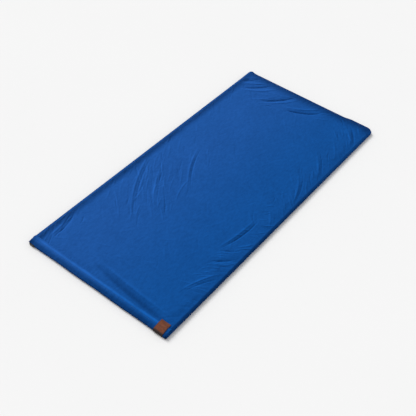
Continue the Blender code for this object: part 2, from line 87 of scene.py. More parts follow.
# The creases worked into the lid by handling. Each runs from (along, across) to (along, across) as shares of
# the blanket's length and width. Then come its half width and height in millimetres, and how far it bows as a
# share of its own length. A negative height is a valley.
CREASES = (
    # where the lid is pulled at the far zip-side corner
    ((0.925, 0.015), (0.975, 0.170), 6, 2.5, 0.05),
    ((0.940, 0.010), (0.985, 0.110), 5, -1.8, 0.05),
    ((0.895, 0.075), (0.975, 0.270), 7, 2.6, 0.06),
    ((0.907, 0.060), (0.978, 0.215), 5, -2.3, 0.06),
    ((0.888, 0.250), (0.978, 0.420), 6, -2.9, 0.05),
    ((0.878, 0.265), (0.972, 0.450), 8, 1.9, 0.05),
    ((0.903, 0.440), (0.970, 0.660), 6, -3.0, 0.08),
    ((0.917, 0.425), (0.978, 0.620), 6, 1.9, 0.08),
    ((0.870, 0.180), (0.930, 0.300), 6, 1.1, 0.05),
    # pulls across the middle of the zip side
    ((0.255, 0.275), (0.450, 0.040), 6, 1.8, -0.05),
    ((0.265, 0.290), (0.455, 0.062), 5, -1.4, -0.05),
    ((0.312, 0.345), (0.438, 0.168), 6, 1.6, -0.04),
    ((0.320, 0.358), (0.440, 0.190), 4, -1.3, -0.04),
    ((0.365, 0.425), (0.450, 0.372), 5, 1.4, -0.06),
    ((0.436, 0.392), (0.570, 0.238), 6, 1.7, -0.05),
    ((0.440, 0.408), (0.572, 0.256), 4, -1.6, -0.05),
    ((0.300, 0.215), (0.395, 0.110), 6, 1.1, 0.05),
    ((0.280, 0.235), (0.350, 0.195), 6, 1.0, 0.04),
    ((0.480, 0.145), (0.540, 0.060), 6, 0.8, 0.04),
    # small folds along the fold side
    ((0.308, 0.866), (0.450, 0.905), 4, -1.8, 0.04),
    ((0.300, 0.845), (0.455, 0.880), 5, 1.2, 0.04),
    ((0.127, 0.878), (0.235, 0.975), 5, 1.6, -0.05),
    ((0.130, 0.900), (0.222, 0.990), 4, -0.9, -0.05),
    ((0.238, 0.880), (0.285, 0.985), 6, 1.4, 0.06),
    ((0.250, 0.870), (0.300, 0.975), 4, -1.5, 0.06),
    ((0.335, 0.925), (0.375, 0.985), 5, 1.4, 0.05),
    ((0.452, 0.980), (0.505, 0.900), 6, 1.3, 0.04),
    ((0.570, 0.975), (0.675, 0.870), 6, 1.4, 0.05),
    ((0.578, 0.985), (0.688, 0.885), 5, -1.1, 0.05),
    ((0.700, 0.975), (0.800, 0.830), 7, 1.4, 0.04),
    ((0.712, 0.985), (0.806, 0.850), 5, -1.0, 0.04),
    ((0.800, 0.965), (0.885, 0.845), 6, 1.1, 0.05),
    ((0.885, 0.975), (0.955, 0.860), 7, 1.6, 0.06),
    ((0.900, 0.985), (0.965, 0.880), 6, -1.5, 0.06),
    # beside the rolled hem: the slack in front of the tab, and the pull at the zip garage
    ((0.052, 0.430), (0.0280, 1.000), 14, -6.0, 0.01),
    ((0.068, 0.430), (0.0500, 0.960), 8, 2.8, 0.01),
    ((0.045, 0.060), (0.1450, 0.008), 6, 2.0, 0.06),
    ((0.060, 0.080), (0.1500, 0.035), 5, -2.0, 0.06),
)


# Families of small wrinkles around those creases. Each has the middle of its patch and the half extent (along,
# across), the way the wrinkles run in degrees from the length towards the fold side, how many there are, and
# their longest length, half width and height in millimetres.
WRINKLES = (
    ((0.34, 0.26), (0.13, 0.20), -38, 46, 170, 3.8, 1.15),
    ((0.50, 0.26), (0.10, 0.18), -32, 20, 150, 4.0, 1.00),
    ((0.93, 0.22), (0.05, 0.20), 54, 22, 120, 4.2, 1.30),
    ((0.94, 0.52), (0.03, 0.18), 64, 12, 120, 4.2, 1.20),
    ((0.36, 0.93), (0.16, 0.05), 40, 26, 80, 3.8, 1.20),
    ((0.21, 0.93), (0.11, 0.06), 62, 26, 90, 3.8, 1.20),
    ((0.70, 0.92), (0.26, 0.06), -38, 40, 120, 4.0, 1.05),
    ((0.94, 0.88), (0.05, 0.09), -48, 16, 90, 4.2, 1.30),
    ((0.09, 0.05), (0.07, 0.06), -24, 16, 110, 4.0, 1.30),
    ((0.10, 0.40), (0.05, 0.32), 74, 16, 110, 4.4, 0.60),
    ((0.60, 0.04), (0.36, 0.04), -30, 30, 70, 3.8, 0.90),
    ((0.55, 0.50), (0.40, 0.42), -38, 70, 150, 4.4, 0.50),
    ((0.45, 0.60), (0.30, 0.35), 24, 30, 120, 4.4, 0.40),
)
WRINKLE_SEED = 7
LIGHT_SIDE = (-0.98, 0.20)  # the level way towards the window: the sun shines from there, and the lid's painted highlight falls on slopes that face it


def length_property(name, description, default, least=0.0):
    return FloatProperty(name=name, description=description, default=default, min=least, unit="LENGTH")


class BlanketSizes(bpy.types.PropertyGroup):
    """The sizes of the soft goods that a maker would change."""

    cover_cell: length_property("Cover Cell", "Spacing of the cover's mesh", 0.0034, 0.002)
    edge_roll: length_property("Edge Roll", "Radius of the cover's rolled edge", 0.0048, 0.001)
    loft: length_property(
        "Loft", "How far the padding lifts the middle of the lid above its edges", 0.0030
    )
    crease_strength: FloatProperty(
        name="Crease Strength",
        description="Multiplies the height of every crease in the lid",
        default=1.0,
        min=0.0,
        subtype="FACTOR",
    )
    swell_limit: length_property(
        "Swell Limit", "The most that the simulated padding may move a point of the lid", 0.0060
    )
    overhang: length_property(
        "Overhang", "How far the lid's piped edge stands out over the zips", 0.0100
    )
    hem_crown: length_property(
        "Hem Crown", "Height of the rolled hem's ridge above the frame's top", 0.0034
    )
    stitch_pitch: length_property("Stitch Pitch", "Distance from one stitch to the next", 0.0046, 0.002)
    quilt_channels: IntProperty(
        name="Quilt Channels",
        description="Number of sewn channels across each liner",
        default=19,
        min=2,
    )
    quilt_depth: length_property(
        "Quilt Depth", "Depth of a sewn channel below the frame's liner", 0.0005
    )
    quilt_puff: length_property(
        "Quilt Puff", "How far a quilted pillow stands above the frame's liner", 0.0006
    )
    zip_recess: length_property(
        "Zip Recess", "How far the base's wall stands back behind the zips, to let the sliders pass", 0.0028
    )
    tooth_pitch: length_property("Tooth Pitch", "Distance from one zip tooth to the next", 0.0021, 0.001)


def colour_property(name, description, default):
    return FloatVectorProperty(
        name=name, description=description, default=default, size=3, min=0.0, max=1.0, subtype="COLOR"
    )


class BlanketColours(bpy.types.PropertyGroup):
    """The colours of the finishes."""

    # The velour colours are the ends of a mix that paints light and shade: velour is the painted shade end,
    # brushed the lit end, and cool the lit end at the fold side, bluer and a little darker.
    velour: colour_property("Velour", "The velour with its pile lying away", (0.0018, 0.026, 0.112))
    brushed: colour_property("Brushed Velour", "The velour with its pile brushed up", (0.0175, 0.113, 0.430))
    cool: colour_property("Cool Velour", "The brushed velour at the fold side", (0.0065, 0.102, 0.400))
    leather: colour_property("Leather", "The tab's leather", (0.165, 0.042, 0.014))
    worn_leather: colour_property("Worn Leather", "The leather where it is rubbed", (0.260, 0.085, 0.034))
    liner: colour_property("Liner", "The waterproof liner", (0.013, 0.013, 0.015))
    thread: colour_property("Thread", "The sewing thread on the velour", (0.006, 0.045, 0.180))
    floor: colour_property("Floor", "The studio floor", (0.820, 0.820, 0.820))


class BlanketSettings(bpy.types.PropertyGroup):
    """Everything that the panel shows."""

    sizes: PointerProperty(type=BlanketSizes)
    colours: PointerProperty(type=BlanketColours)


# ---------------------------------------------------------------- materials


def new_material(name, colour, roughness, metallic=0.0):
    """A Principled material, as (material, shader)."""
    material = bpy.data.materials.new(name)
    material.use_nodes = True
    shader = material.node_tree.nodes["Principled BSDF"]
    shader.inputs["Base Color"].default_value = (*colour, 1.0)
    shader.inputs["Roughness"].default_value = roughness
    shader.inputs["Metallic"].default_value = metallic
    return material, shader


def place_pattern(material, stretch=(1, 1, 1), turn=0.0):
    """The piece's own coordinates, stretched and turned for a pattern."""
    nodes = material.node_tree.nodes
    coordinates = nodes.new("ShaderNodeTexCoord")
    mapping = nodes.new("ShaderNodeMapping")
    mapping.inputs["Scale"].default_value = stretch
    mapping.inputs["Rotation"].default_value = (0, 0, turn)
    material.node_tree.links.new(coordinates.outputs["Object"], mapping.inputs["Vector"])
    return mapping.outputs["Vector"]


def noise_pattern(material, vector, scale, detail=3.0, roughness=0.55, distortion=0.0):
    texture = material.node_tree.nodes.new("ShaderNodeTexNoise")
    texture.inputs["Scale"].default_value = scale
    texture.inputs["Detail"].default_value = detail
    texture.inputs["Roughness"].default_value = roughness
    texture.inputs["Distortion"].default_value = distortion
    material.node_tree.links.new(vector, texture.inputs["Vector"])
    return texture.outputs["Fac"]


def cell_pattern(material, vector, scale, feature="F1"):
    texture = material.node_tree.nodes.new("ShaderNodeTexVoronoi")
    texture.feature = feature
    texture.inputs["Scale"].default_value = scale
    material.node_tree.links.new(vector, texture.inputs["Vector"])
    return texture.outputs["Distance"]


def thread_pattern(material, vector, scale, direction):
    """Ribs of a weave across one direction."""
    texture = material.node_tree.nodes.new("ShaderNodeTexWave")
    texture.bands_direction = direction
    texture.inputs["Scale"].default_value = scale
    texture.inputs["Distortion"].default_value = 0.4
    material.node_tree.links.new(vector, texture.inputs["Vector"])
    return texture.outputs["Fac"]


def reshape(material, value, low, high, to_low=0.0, to_high=1.0):
    """Spreads a pattern's values from one range over another."""
    node = material.node_tree.nodes.new("ShaderNodeMapRange")
    node.interpolation_type = "SMOOTHSTEP"
    node.inputs["From Min"].default_value = low
    node.inputs["From Max"].default_value = high
    node.inputs["To Min"].default_value = to_low
    node.inputs["To Max"].default_value = to_high
    material.node_tree.links.new(value, node.inputs["Value"])
    return node.outputs["Result"]


def arithmetic(material, operation, first, second):
    node = material.node_tree.nodes.new("ShaderNodeMath")
    node.operation = operation
    for socket, value in zip(node.inputs, (first, second)):
        if isinstance(value, (int, float)):
            socket.default_value = value
        else:
            material.node_tree.links.new(value, socket)
    return node.outputs["Value"]


def blend_colours(material, share, first, second):
    """Mixes two colours. Each is a colour or another blend."""
    node = material.node_tree.nodes.new("ShaderNodeMix")
    node.data_type = "RGBA"
    material.node_tree.links.new(share, node.inputs[0])
    for socket, value in ((node.inputs[6], first), (node.inputs[7], second)):
        if isinstance(value, bpy.types.NodeSocket):
            material.node_tree.links.new(value, socket)
        else:
            socket.default_value = (*value, 1.0)
    return node.outputs[2]


def emboss(material, shader, height, distance, strength=1.0, under=None):
    """Bumps the shader's normal by a height pattern, on top of another bump."""
    bump = material.node_tree.nodes.new("ShaderNodeBump")
    bump.inputs["Strength"].default_value = strength
    bump.inputs["Distance"].default_value = distance
    material.node_tree.links.new(height, bump.inputs["Height"])
    if under is not None:
        material.node_tree.links.new(under, bump.inputs["Normal"])
    material.node_tree.links.new(bump.outputs["Normal"], shader.inputs["Normal"])
    return bump.outputs["Normal"]


def colour_from(material, shader, colour):
    material.node_tree.links.new(colour, shader.inputs["Base Color"])


def roughness_from(material, shader, value):
    material.node_tree.links.new(value, shader.inputs["Roughness"])


def velour(colours, name="blue velour", darker=1.0):
    """Short-pile velour. A number stored at each point of the mesh paints light and shade into its colour:
    painted highlight where it is high, painted shade where it is low. darker dims every colour, which makes a
    shaded copy.
    """
    deep = [channel * darker for channel in colours.velour]
    brushed = [channel * darker for channel in colours.brushed]
    cool = [channel * darker for channel in colours.cool]
    material, shader = new_material(name, brushed, 0.9)
    straight = place_pattern(material)
    place = material.node_tree.nodes.new("ShaderNodeSeparateXYZ")
    material.node_tree.links.new(straight, place.inputs[0])
    across = reshape(material, place.outputs["X"], -0.30, 0.36)
    lit = blend_colours(material, across, brushed, cool)
    marks = place_pattern(material, stretch=(1.0, 0.50, 1.0), turn=math.radians(-42))
    painted_shading = material.node_tree.nodes.new("ShaderNodeAttribute")
    painted_shading.attribute_name = "painted_shading"
    patches = noise_pattern(material, straight, 7, 5, 0.6, 0.6)
    strokes = noise_pattern(material, marks, 90, 5, 0.7, 0.4)
    nap = noise_pattern(material, straight, 620, 2)
    share = reshape(material, patches, 0.25, 0.75, 0.53, 0.61)
    share = arithmetic(material, "ADD", share, reshape(material, strokes, 0.3, 0.7, -0.08, 0.09))
    # painted light and shade: the mesh's per-point attribute lightens or darkens the colour
    share = arithmetic(material, "ADD", share, arithmetic(material, "MULTIPLY", painted_shading.outputs["Fac"], 0.55))
    share = arithmetic(material, "ADD", share, reshape(material, nap, 0.3, 0.7, -0.06, 0.06))
    colour_from(material, shader, blend_colours(material, share, deep, lit))
    shader.inputs["Sheen Weight"].default_value = 0.05
    shader.inputs["Sheen Roughness"].default_value = 0.35
    shader.inputs["Sheen Tint"].default_value = (0.10, 0.42, 1.0, 1.0)
    shader.inputs["Specular IOR Level"].default_value = 0.03
    handled = noise_pattern(material, marks, 48, 4, 0.6)
    under = emboss(material, shader, handled, 0.0022, 0.55)
    emboss(material, shader, nap, 0.0005, 0.6, under)
    return material


def tab_leather(colours):
    """Vegetable-tanned leather: pebbled grain, pores, tone that drifts and rubbed high spots, with painted
    shade from the mesh's attribute on the front fold and along the cut sides.
    """
    material, shader = new_material("tab leather", colours.leather, 0.5)
    vector = place_pattern(material)
    grain = cell_pattern(material, vector, 620)
    pores = cell_pattern(material, vector, 1500)
    tone = reshape(material, noise_pattern(material, vector, 38, 4, 0.6, 0.7), 0.35, 0.70)
    rubbed = reshape(material, noise_pattern(material, vector, 120, 5, 0.7), 0.52, 0.74, 0.0, 0.55)
    dark = [channel * 0.62 for channel in colours.leather]
    base = blend_colours(material, tone, dark, tuple(colours.leather))
    face = blend_colours(material, rubbed, base, tuple(colours.worn_leather))
    tab_painted_shade = material.node_tree.nodes.new("ShaderNodeAttribute")
    tab_painted_shade.attribute_name = "tab_painted_shade"
    # painted shade: the attribute darkens the front fold and the cut sides towards near black
    colour_from(material, shader, blend_colours(material, tab_painted_shade.outputs["Fac"], face, (0.016, 0.007, 0.005)))
    shader.inputs["Specular IOR Level"].default_value = 0.25
    roughness_from(material, shader, reshape(material, grain, 0.0, 0.7, 0.50, 0.72))
    under = emboss(material, shader, grain, 0.0004, 0.8)
    emboss(material, shader, pores, 0.00012, 0.5, under)
    return material


def liner_leather(colours):
    """Waterproof PU: fine pebble grain, a dull gloss and faint scuffs."""
    material, shader = new_material("liner", colours.liner, 0.42)
    vector = place_pattern(material)
    grain = cell_pattern(material, vector, 700)
    scuffs = noise_pattern(material, vector, 9, 5, 0.65, 0.6)
    lighter = [channel * 2.1 for channel in colours.liner]
    share = reshape(material, scuffs, 0.42, 0.72, 0.0, 0.7)
    colour_from(material, shader, blend_colours(material, share, tuple(colours.liner), lighter))
    shader.inputs["Specular IOR Level"].default_value = 0.35
    roughness_from(material, shader, reshape(material, scuffs, 0.3, 0.7, 0.42, 0.62))
    under = emboss(material, shader, grain, 0.0003, 0.6)
    emboss(material, shader, noise_pattern(material, vector, 45, 3), 0.0012, 0.5, under)
    return material


def webbing(name, colour, scale=900):
    """A woven tape: ribs both ways and a little dust."""
    material, shader = new_material(name, colour, 0.85)
    vector = place_pattern(material)
    across = thread_pattern(material, vector, scale, "Y")
    upright = thread_pattern(material, vector, scale * 0.6, "Z")
    along = thread_pattern(material, vector, scale, "X")
    weave = arithmetic(material, "MULTIPLY", arithmetic(material, "ADD", across, along), upright)
    lighter = [min(1.0, channel * 2.6 + 0.004) for channel in colour]
    share = reshape(material, noise_pattern(material, vector, 240, 3), 0.3, 0.75)
    colour_from(material, shader, blend_colours(material, share, tuple(colour), lighter))
    shader.inputs["Sheen Weight"].default_value = 0.15
    emboss(material, shader, weave, 0.0003, 0.7)
    return material


def plastic(name, colour, roughness=0.42):
    """Moulded plastic with a spark-eroded texture."""
    material, shader = new_material(name, colour, roughness)
    vector = place_pattern(material)
    texture = noise_pattern(material, vector, 1900, 2)
    smears = noise_pattern(material, vector, 60, 4, 0.6, 0.5)
    lighter = [channel * 1.5 + 0.003 for channel in colour]
    share = reshape(material, smears, 0.4, 0.7)
    colour_from(material, shader, blend_colours(material, share, tuple(colour), lighter))
    roughness_from(material, shader, reshape(material, smears, 0.3, 0.7, roughness - 0.08, roughness + 0.1))
    emboss(material, shader, texture, 0.00012, 0.45)
    return material


def metal(name, colour, roughness, brushed=(1, 1, 12)):
    """Metal with fine drawn lines and rubbed patches."""
    material, shader = new_material(name, colour, roughness, 1.0)
    lines = noise_pattern(material, place_pattern(material, stretch=brushed), 420, 3)
    rubs = noise_pattern(material, place_pattern(material), 160, 4, 0.6)
    bright = [min(1.0, channel * 1.7 + 0.02) for channel in colour]
    share = reshape(material, rubs, 0.45, 0.7, 0.0, 0.8)
    colour_from(material, shader, blend_colours(material, share, tuple(colour), bright))
    roughness_from(material, shader, reshape(material, lines, 0.3, 0.7, roughness - 0.08, roughness + 0.12))
    emboss(material, shader, lines, 0.00006, 0.5)
    return material


def fibres(name, colour, scale=260, fuzz=0.0012):
    """Felt or wadding: tangled fibres."""
    material, shader = new_material(name, colour, 0.95)
    vector = place_pattern(material)
    tangle = noise_pattern(material, vector, scale, 6, 0.7, 1.2)
    darker = [channel * 0.72 for channel in colour]
    share = reshape(material, tangle, 0.35, 0.65)
    colour_from(material, shader, blend_colours(material, share, darker, tuple(colour)))
    emboss(material, shader, tangle, fuzz, 0.8)
    return material


def crinkled_foil(name, colour):
    material, shader = new_material(name, colour, 0.24, 1.0)
    vector = place_pattern(material)
    facets = cell_pattern(material, vector, 70)
    dulled = noise_pattern(material, vector, 30)
    roughness_from(material, shader, reshape(material, dulled, 0.3, 0.7, 0.16, 0.34))
    emboss(material, shader, facets, 0.002, 0.5)
    return material


def sewing_thread(name, colour):
    """Twisted thread, with painted shade in the twist's grooves."""
    material, shader = new_material(name, colour, 0.7)
    vector = place_pattern(material)
    twist = thread_pattern(material, vector, 1400, "DIAGONAL")
    darker = [channel * 0.5 for channel in colour]
    colour_from(material, shader, blend_colours(material, twist, darker, tuple(colour)))
    shader.inputs["Sheen Weight"].default_value = 0.2
    emboss(material, shader, twist, 0.0001, 0.6)
    return material


def studio_floor(colours):
    material, shader = new_material("studio floor", colours.floor, 0.9)
    vector = place_pattern(material)
    tone = noise_pattern(material, vector, 1.3, 3)
    dimmer = [channel * 0.985 for channel in colours.floor]
    colour_from(material, shader, blend_colours(material, tone, dimmer, tuple(colours.floor)))
    shader.inputs["Specular IOR Level"].default_value = 0.1
    return material


# ---------------------------------------------------------------- mesh helpers


def set_measure(mesh, name, values):
    """Stores one number at each of the mesh's points, for its material to read."""
    attribute = mesh.attributes.new(name, "FLOAT", "POINT")
    attribute.data.foreach_set("value", np.asarray(values, np.float32))


def set_painted_shading(mesh, painted_shading):
    """Stores for each point how much painted highlight, up to 1, or painted shade, down to -1, its velour
    colour takes.
    """
    set_measure(mesh, "painted_shading", painted_shading)


def add_piece(name, bm, material, body=None, replaced=(), smooth=True):
    """A finished piece in place of its frame solids, riding on a body."""
    mesh = bpy.data.meshes.new(name)
    bm.to_mesh(mesh)
    bm.free()
    if smooth:
        mesh.shade_smooth()
    mesh.materials.append(material)
    obj = bpy.data.objects.new(name, mesh)
    bpy.context.scene.collection.objects.link(obj)
    if replaced:
        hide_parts(*replaced)
    if body:
        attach(obj, body)
    return obj


def smoothstep(low, high, value):
    share = np.clip((value - low) / (high - low), 0.0, 1.0)
    return share * share * (3.0 - 2.0 * share)


def points_of(verts):
    return np.array([vert.co for vert in verts], float).reshape(-1, 3)


def set_points(verts, points):
    for vert, point in zip(verts, points):
        vert.co = point


def noise_at(points, scale, seed, octaves=3):
    """Smooth noise from -1 to 1 at each point of a flat layout."""
    return np.array(
        [noise.fractal((x * scale, y * scale, seed), 1.0, 2.0, octaves) for x, y in points[:, :2]], float
    )


def panel_grid(low, high, cell, corner):
    """A flat panel between two corners at z 0, of square cells, with its corners rounded."""
    size = high - low
    columns = max(4, round(size.x / cell))
    rows = max(4, round(size.y / cell))
    bm = bmesh.new()
    bmesh.ops.create_grid(bm, x_segments=columns, y_segments=rows, size=0.5)
    bmesh.ops.scale(bm, vec=(size.x, size.y, 1.0), verts=bm.verts)
    points = points_of(bm.verts)
    inner = np.array([size.x / 2 - corner, size.y / 2 - corner])
    past = np.maximum(np.abs(points[:, :2]) - inner, 0.0) / corner
    x, y = past[:, 0].copy(), past[:, 1].copy()
    both = (x > 0) & (y > 0)
    past[both, 0] = x[both] * np.sqrt(1 - y[both] ** 2 / 2)
    past[both, 1] = y[both] * np.sqrt(1 - x[both] ** 2 / 2)
    near = np.minimum(np.abs(points[:, :2]), inner)
    points[:, :2] = np.sign(points[:, :2]) * (near + past * corner)
    points[:, 0] += (low.x + high.x) / 2
    points[:, 1] += (low.y + high.y) / 2
    set_points(bm.verts, points)
    return bm


def boundary_of(bm):
    return [edge for edge in bm.edges if edge.is_boundary]


def outwards(point, low, high, corner):
    """The way out of a rounded rectangle at a point near its edge."""
    inner = Vector(
        (
            min(max(point.x, low.x + corner), high.x - corner),
            min(max(point.y, low.y + corner), high.y - corner),
            point.z,
        )
    )
    way = point - inner
    return way.normalized() if way.length > 1e-9 else Vector((0, 0, 0))


def extend_edge(bm, move):
    """Extrudes the open edge once, and moves each new point by move(point)."""
    made = bmesh.ops.extrude_edge_only(bm, edges=boundary_of(bm))["geom"]
    for vert in (item for item in made if isinstance(item, bmesh.types.BMVert)):
        vert.co = move(vert.co.copy())


def edge_mover(low, high, corner, out, up):
    """A move for extend_edge: out of a rounded rectangle, and up."""

    def move(point):
        return point + outwards(point, low, high, corner) * out + Vector((0, 0, up))

    return move


def roll_edge(bm, low, high, corner, radius, rise, bends):
    """Rolls the open edge of a panel through a quarter turn, up or down by rise."""
    for i in range(bends):
        turn, next_turn = (math.pi / 2 * k / bends for k in (i, i + 1))
        out = radius * (math.sin(next_turn) - math.sin(turn))
        up = rise * (math.cos(turn) - math.cos(next_turn))
        extend_edge(bm, edge_mover(low, high, corner, out, up))


def close_edge(bm):
    """Fills the open edge and turns every face outwards."""
    bmesh.ops.holes_fill(bm, edges=boundary_of(bm), sides=0)
    bmesh.ops.recalc_face_normals(bm, faces=bm.faces)


def rounded_box(low, high, radius, segments=3):
    low, high = Vector(low), Vector(high)
    bm = bmesh.new()
    bmesh.ops.create_cube(bm, size=1.0)
    bmesh.ops.scale(bm, vec=high - low, verts=bm.verts)
    bmesh.ops.translate(bm, vec=(low + high) / 2, verts=bm.verts)
    bmesh.ops.bevel(
        bm, geom=bm.edges[:], offset=radius, segments=segments, profile=0.5, affect="EDGES", material=-1
    )
    return bm


def sweep_profile(profile, start, end, steps, axis):
    """Sweeps a closed profile along X or Y. The profile's points are (the other level axis, z)."""
    bm = bmesh.new()

    def at(point, place):
        return (place, point[0], point[1]) if axis == "X" else (point[0], place, point[1])

    ring = [bm.verts.new(at(point, start)) for point in profile]
    edges = [bm.edges.new((ring[i], ring[(i + 1) % len(ring)])) for i in range(len(ring))]
    step = (end - start) / steps
    for _ in range(steps):
        made = bmesh.ops.extrude_edge_only(bm, edges=edges)["geom"]
        verts = [item for item in made if isinstance(item, bmesh.types.BMVert)]
        bmesh.ops.translate(bm, vec=(step, 0, 0) if axis == "X" else (0, step, 0), verts=verts)
        moved = set(verts)
        edges = [
            item
            for item in made
            if isinstance(item, bmesh.types.BMEdge) and item.verts[0] in moved and item.verts[1] in moved
        ]
    close_edge(bm)
    return bm


def rounded_path(points, radius, steps=4):
    """A chain of points with each inner corner turned by a curve that starts radius before it."""
    path = [Vector(points[0])]
    for before, corner, after in zip(points, points[1:], points[2:]):
        before, corner, after = Vector(before), Vector(corner), Vector(after)
        reach_in = min(radius, (before - corner).length / 2)
        reach_out = min(radius, (after - corner).length / 2)
        start = corner + (before - corner).normalized() * reach_in
        end = corner + (after - corner).normalized() * reach_out
        for i in range(steps + 1):
            t = i / steps
            path.append(start * (1 - t) ** 2 + corner * 2 * t * (1 - t) + end * t**2)
    path.append(Vector(points[-1]))
    return path


def thick_profile(path, thickness):
    """The outline of a strip of even thickness whose outer face follows a path."""
    inside = []
    for i, point in enumerate(path):
        way = path[min(i + 1, len(path) - 1)] - path[max(i - 1, 0)]
        inside.append(point + Vector((-way.y, way.x)).normalized() * thickness)
    return [*path, *reversed(inside)]


def repeat_shape(bm, places):
    """Copies the one shape in a bmesh to every place, each a matrix, by doubling what is there."""
    shape = [vert.co.copy() for vert in bm.verts]
    copies = 1
    while copies < len(places):
        bmesh.ops.duplicate(bm, geom=[*bm.verts, *bm.edges, *bm.faces])
        copies *= 2
    spare = []
    for index, vert in enumerate(bm.verts):
        copy, corner = divmod(index, len(shape))
        if copy < len(places):
            vert.co = places[copy] @ shape[corner]
        else:
            spare.append(vert)
    bmesh.ops.delete(bm, geom=spare, context="VERTS")


def sew(name, places, material, body, length=0.0034, thick=0.00055):
    """A row of stitches. Each place is (point, direction along the seam)."""
    bm = bmesh.new()
    bmesh.ops.create_uvsphere(bm, u_segments=5, v_segments=3, radius=0.5)
    bmesh.ops.rotate(bm, matrix=Matrix.Rotation(math.pi / 2, 3, "Y"), verts=bm.verts)
    bmesh.ops.scale(bm, vec=(length, thick, thick), verts=bm.verts)
    turns = [Vector((1, 0, 0)).rotation_difference(Vector(direction)) for _, direction in places]
    repeat_shape(
        bm, [Matrix.Translation(point) @ turn.to_matrix().to_4x4() for (point, _), turn in zip(places, turns)]
    )
    return add_piece(name, bm, material, body)


def surface_of(obj):
    bm = bmesh.new()
    bm.from_mesh(obj.data)
    tree = BVHTree.FromBMesh(bm)
    bm.free()
    return tree


def seam_places(tree, start, end, pitch, down=True, sink=0.00005):
    """Stitch places on a surface, along a straight seam between two (x, y) points."""
    start, end = Vector((*start, 0)), Vector((*end, 0))
    count = int((end - start).length / pitch)
    direction = (end - start).normalized()
    places = []
    for i in range(count):
        spot = start.lerp(end, (i + 0.5) / count)
        fall = Vector((0, 0, -1 if down else 1))
        hit, normal, _, _ = tree.ray_cast(spot - fall, fall)
        if hit is None:
            raise RuntimeError(f"a seam runs off its piece at {tuple(spot)}")
        along = (direction - normal * direction.dot(normal)).normalized()
        places.append((hit + normal * sink, along))
    return places


# ---------------------------------------------------------------- relief of the lid


def small_wrinkles():
    """The creases of the wrinkle families, in the form of CREASES."""
    draw = random.Random(WRINKLE_SEED)
    for middle, extent, heading, count, longest, half_width, rise in WRINKLES:
        for _ in range(count):
            centre = [m + e * draw.uniform(-1, 1) for m, e in zip(middle, extent)]
            turn = math.radians(heading + draw.gauss(0, 9))
            length = longest / 1000 * draw.uniform(0.35, 1.0)
            half = (math.cos(turn) * length / 2 / LENGTH, math.sin(turn) * length / 2 / WIDTH)
            start = tuple(c - h for c, h in zip(centre, half))
            end = tuple(c + h for c, h in zip(centre, half))
            height = rise * draw.uniform(0.4, 1.0) * draw.choice((1, 1, -1))
            yield start, end, half_width * draw.uniform(0.75, 1.25), height, draw.uniform(-0.08, 0.08)


def crease_relief(points, creases, strength):
    """The height that creases add at each point of the lid. Each ridge is steeper on one side."""
    spot = np.stack([points[:, 1] - HEM_LOW.y, points[:, 0] - LID_LOW.x], axis=1)
    height = np.zeros(len(points))
    for start, end, half_width, rise, bow in creases:
        a = np.array([start[0] * LENGTH, start[1] * WIDTH])
        b = np.array([end[0] * LENGTH, end[1] * WIDTH])
        length = np.linalg.norm(b - a)
        direction = (b - a) / length
        side = np.array([-direction[1], direction[0]])
        reach = half_width * 0.003 + abs(bow) * length
        share = (spot - a) @ direction / length
        off = (spot - a) @ side
        near = (share > -0.12) & (share < 1.12) & (np.abs(off) < reach)
        share = share[near]
        off = off[near] - bow * length * 4 * share * (1 - share)
        fade = smoothstep(-0.12, 0.35, share) * (1 - smoothstep(0.60, 1.12, share))
        width = half_width / 1000 * (0.55 + 0.45 * fade)
        steeper = np.where(off > 0, 0.72, 1.15)
        height[near] += strength * rise / 1000 * fade * np.exp(-((off / (width * steeper)) ** 2))
    return height


def painted_lid_shading(points, creases, strength):
    """The lid's painted light and shade: painted highlight on slopes that face the light and on ridges,
    painted shade in valleys and along the edges, a painted highlight on the zip side's rim and a painted
    falloff from the zip side to the fold side.
    """
    step = 0.0024
    shifted = points.copy()
    shifted[:, 0] += LIGHT_SIDE[0] * step
    shifted[:, 1] += LIGHT_SIDE[1] * step
    relief = crease_relief(points, creases, strength)
    # painted light by slope: lighter where the surface faces the light, darker where it faces away
    slope = (relief - crease_relief(shifted, creases, strength)) / step
    from_zip = points[:, 0] - LID_LOW.x
    from_foot = LID_HIGH.y - points[:, 1]
    # painted shade along the zip side, the foot and the fold side
    painted_edge_shade = 0.88 * (1 - smoothstep(0.016, 0.056, from_zip))
    painted_edge_shade = np.maximum(painted_edge_shade, 0.92 * (1 - smoothstep(0.004, 0.085, from_foot)))
    painted_edge_shade = np.maximum(painted_edge_shade, 0.45 * (1 - smoothstep(0.0, 0.009, LID_HIGH.x - points[:, 0])))
    # a painted highlight along the zip side's rim
    painted_rim_shading = 0.50 * (1 - smoothstep(0.0, 0.006, from_zip))
    across = from_zip / WIDTH
    # painted light: lighter on the zip side, darker towards the fold side
    painted_light_gradient = 0.10 - 0.22 * across
    return np.clip(slope * 1.9, -0.65, 0.6) + np.clip(relief * 95, -0.5, 0.3) - painted_edge_shade + painted_rim_shading + painted_light_gradient


def edge_distance(points, low, high):
    return np.minimum.reduce(
        [points[:, 0] - low.x, high.x - points[:, 0], points[:, 1] - low.y, high.y - points[:, 1]]
    )


def lid_outline(points):
    """Moves the lid's edges off their straight lines: a bulge and an ear at the foot, and a slack fold."""
    x, y = points[:, 0], points[:, 1]
    far = smoothstep(LID_HIGH.y - 0.12, LID_HIGH.y, y)
    bulge = smoothstep(0.235, 0.290, x) * (1 - 0.6 * smoothstep(0.390, 0.42, x))
    points[:, 1] += far * 0.0085 * bulge
    ear = np.exp(-(((x - LID_LOW.x) / 0.020) ** 2)) * far
    points[:, 1] += 0.0085 * ear
    points[:, 0] -= 0.0015 * ear
    fold = smoothstep(LID_HIGH.x - 0.10, LID_HIGH.x, x)
    points[:, 0] -= fold * 0.0004 * (1 + np.sin(y * 5.0 + 0.8))
    return points


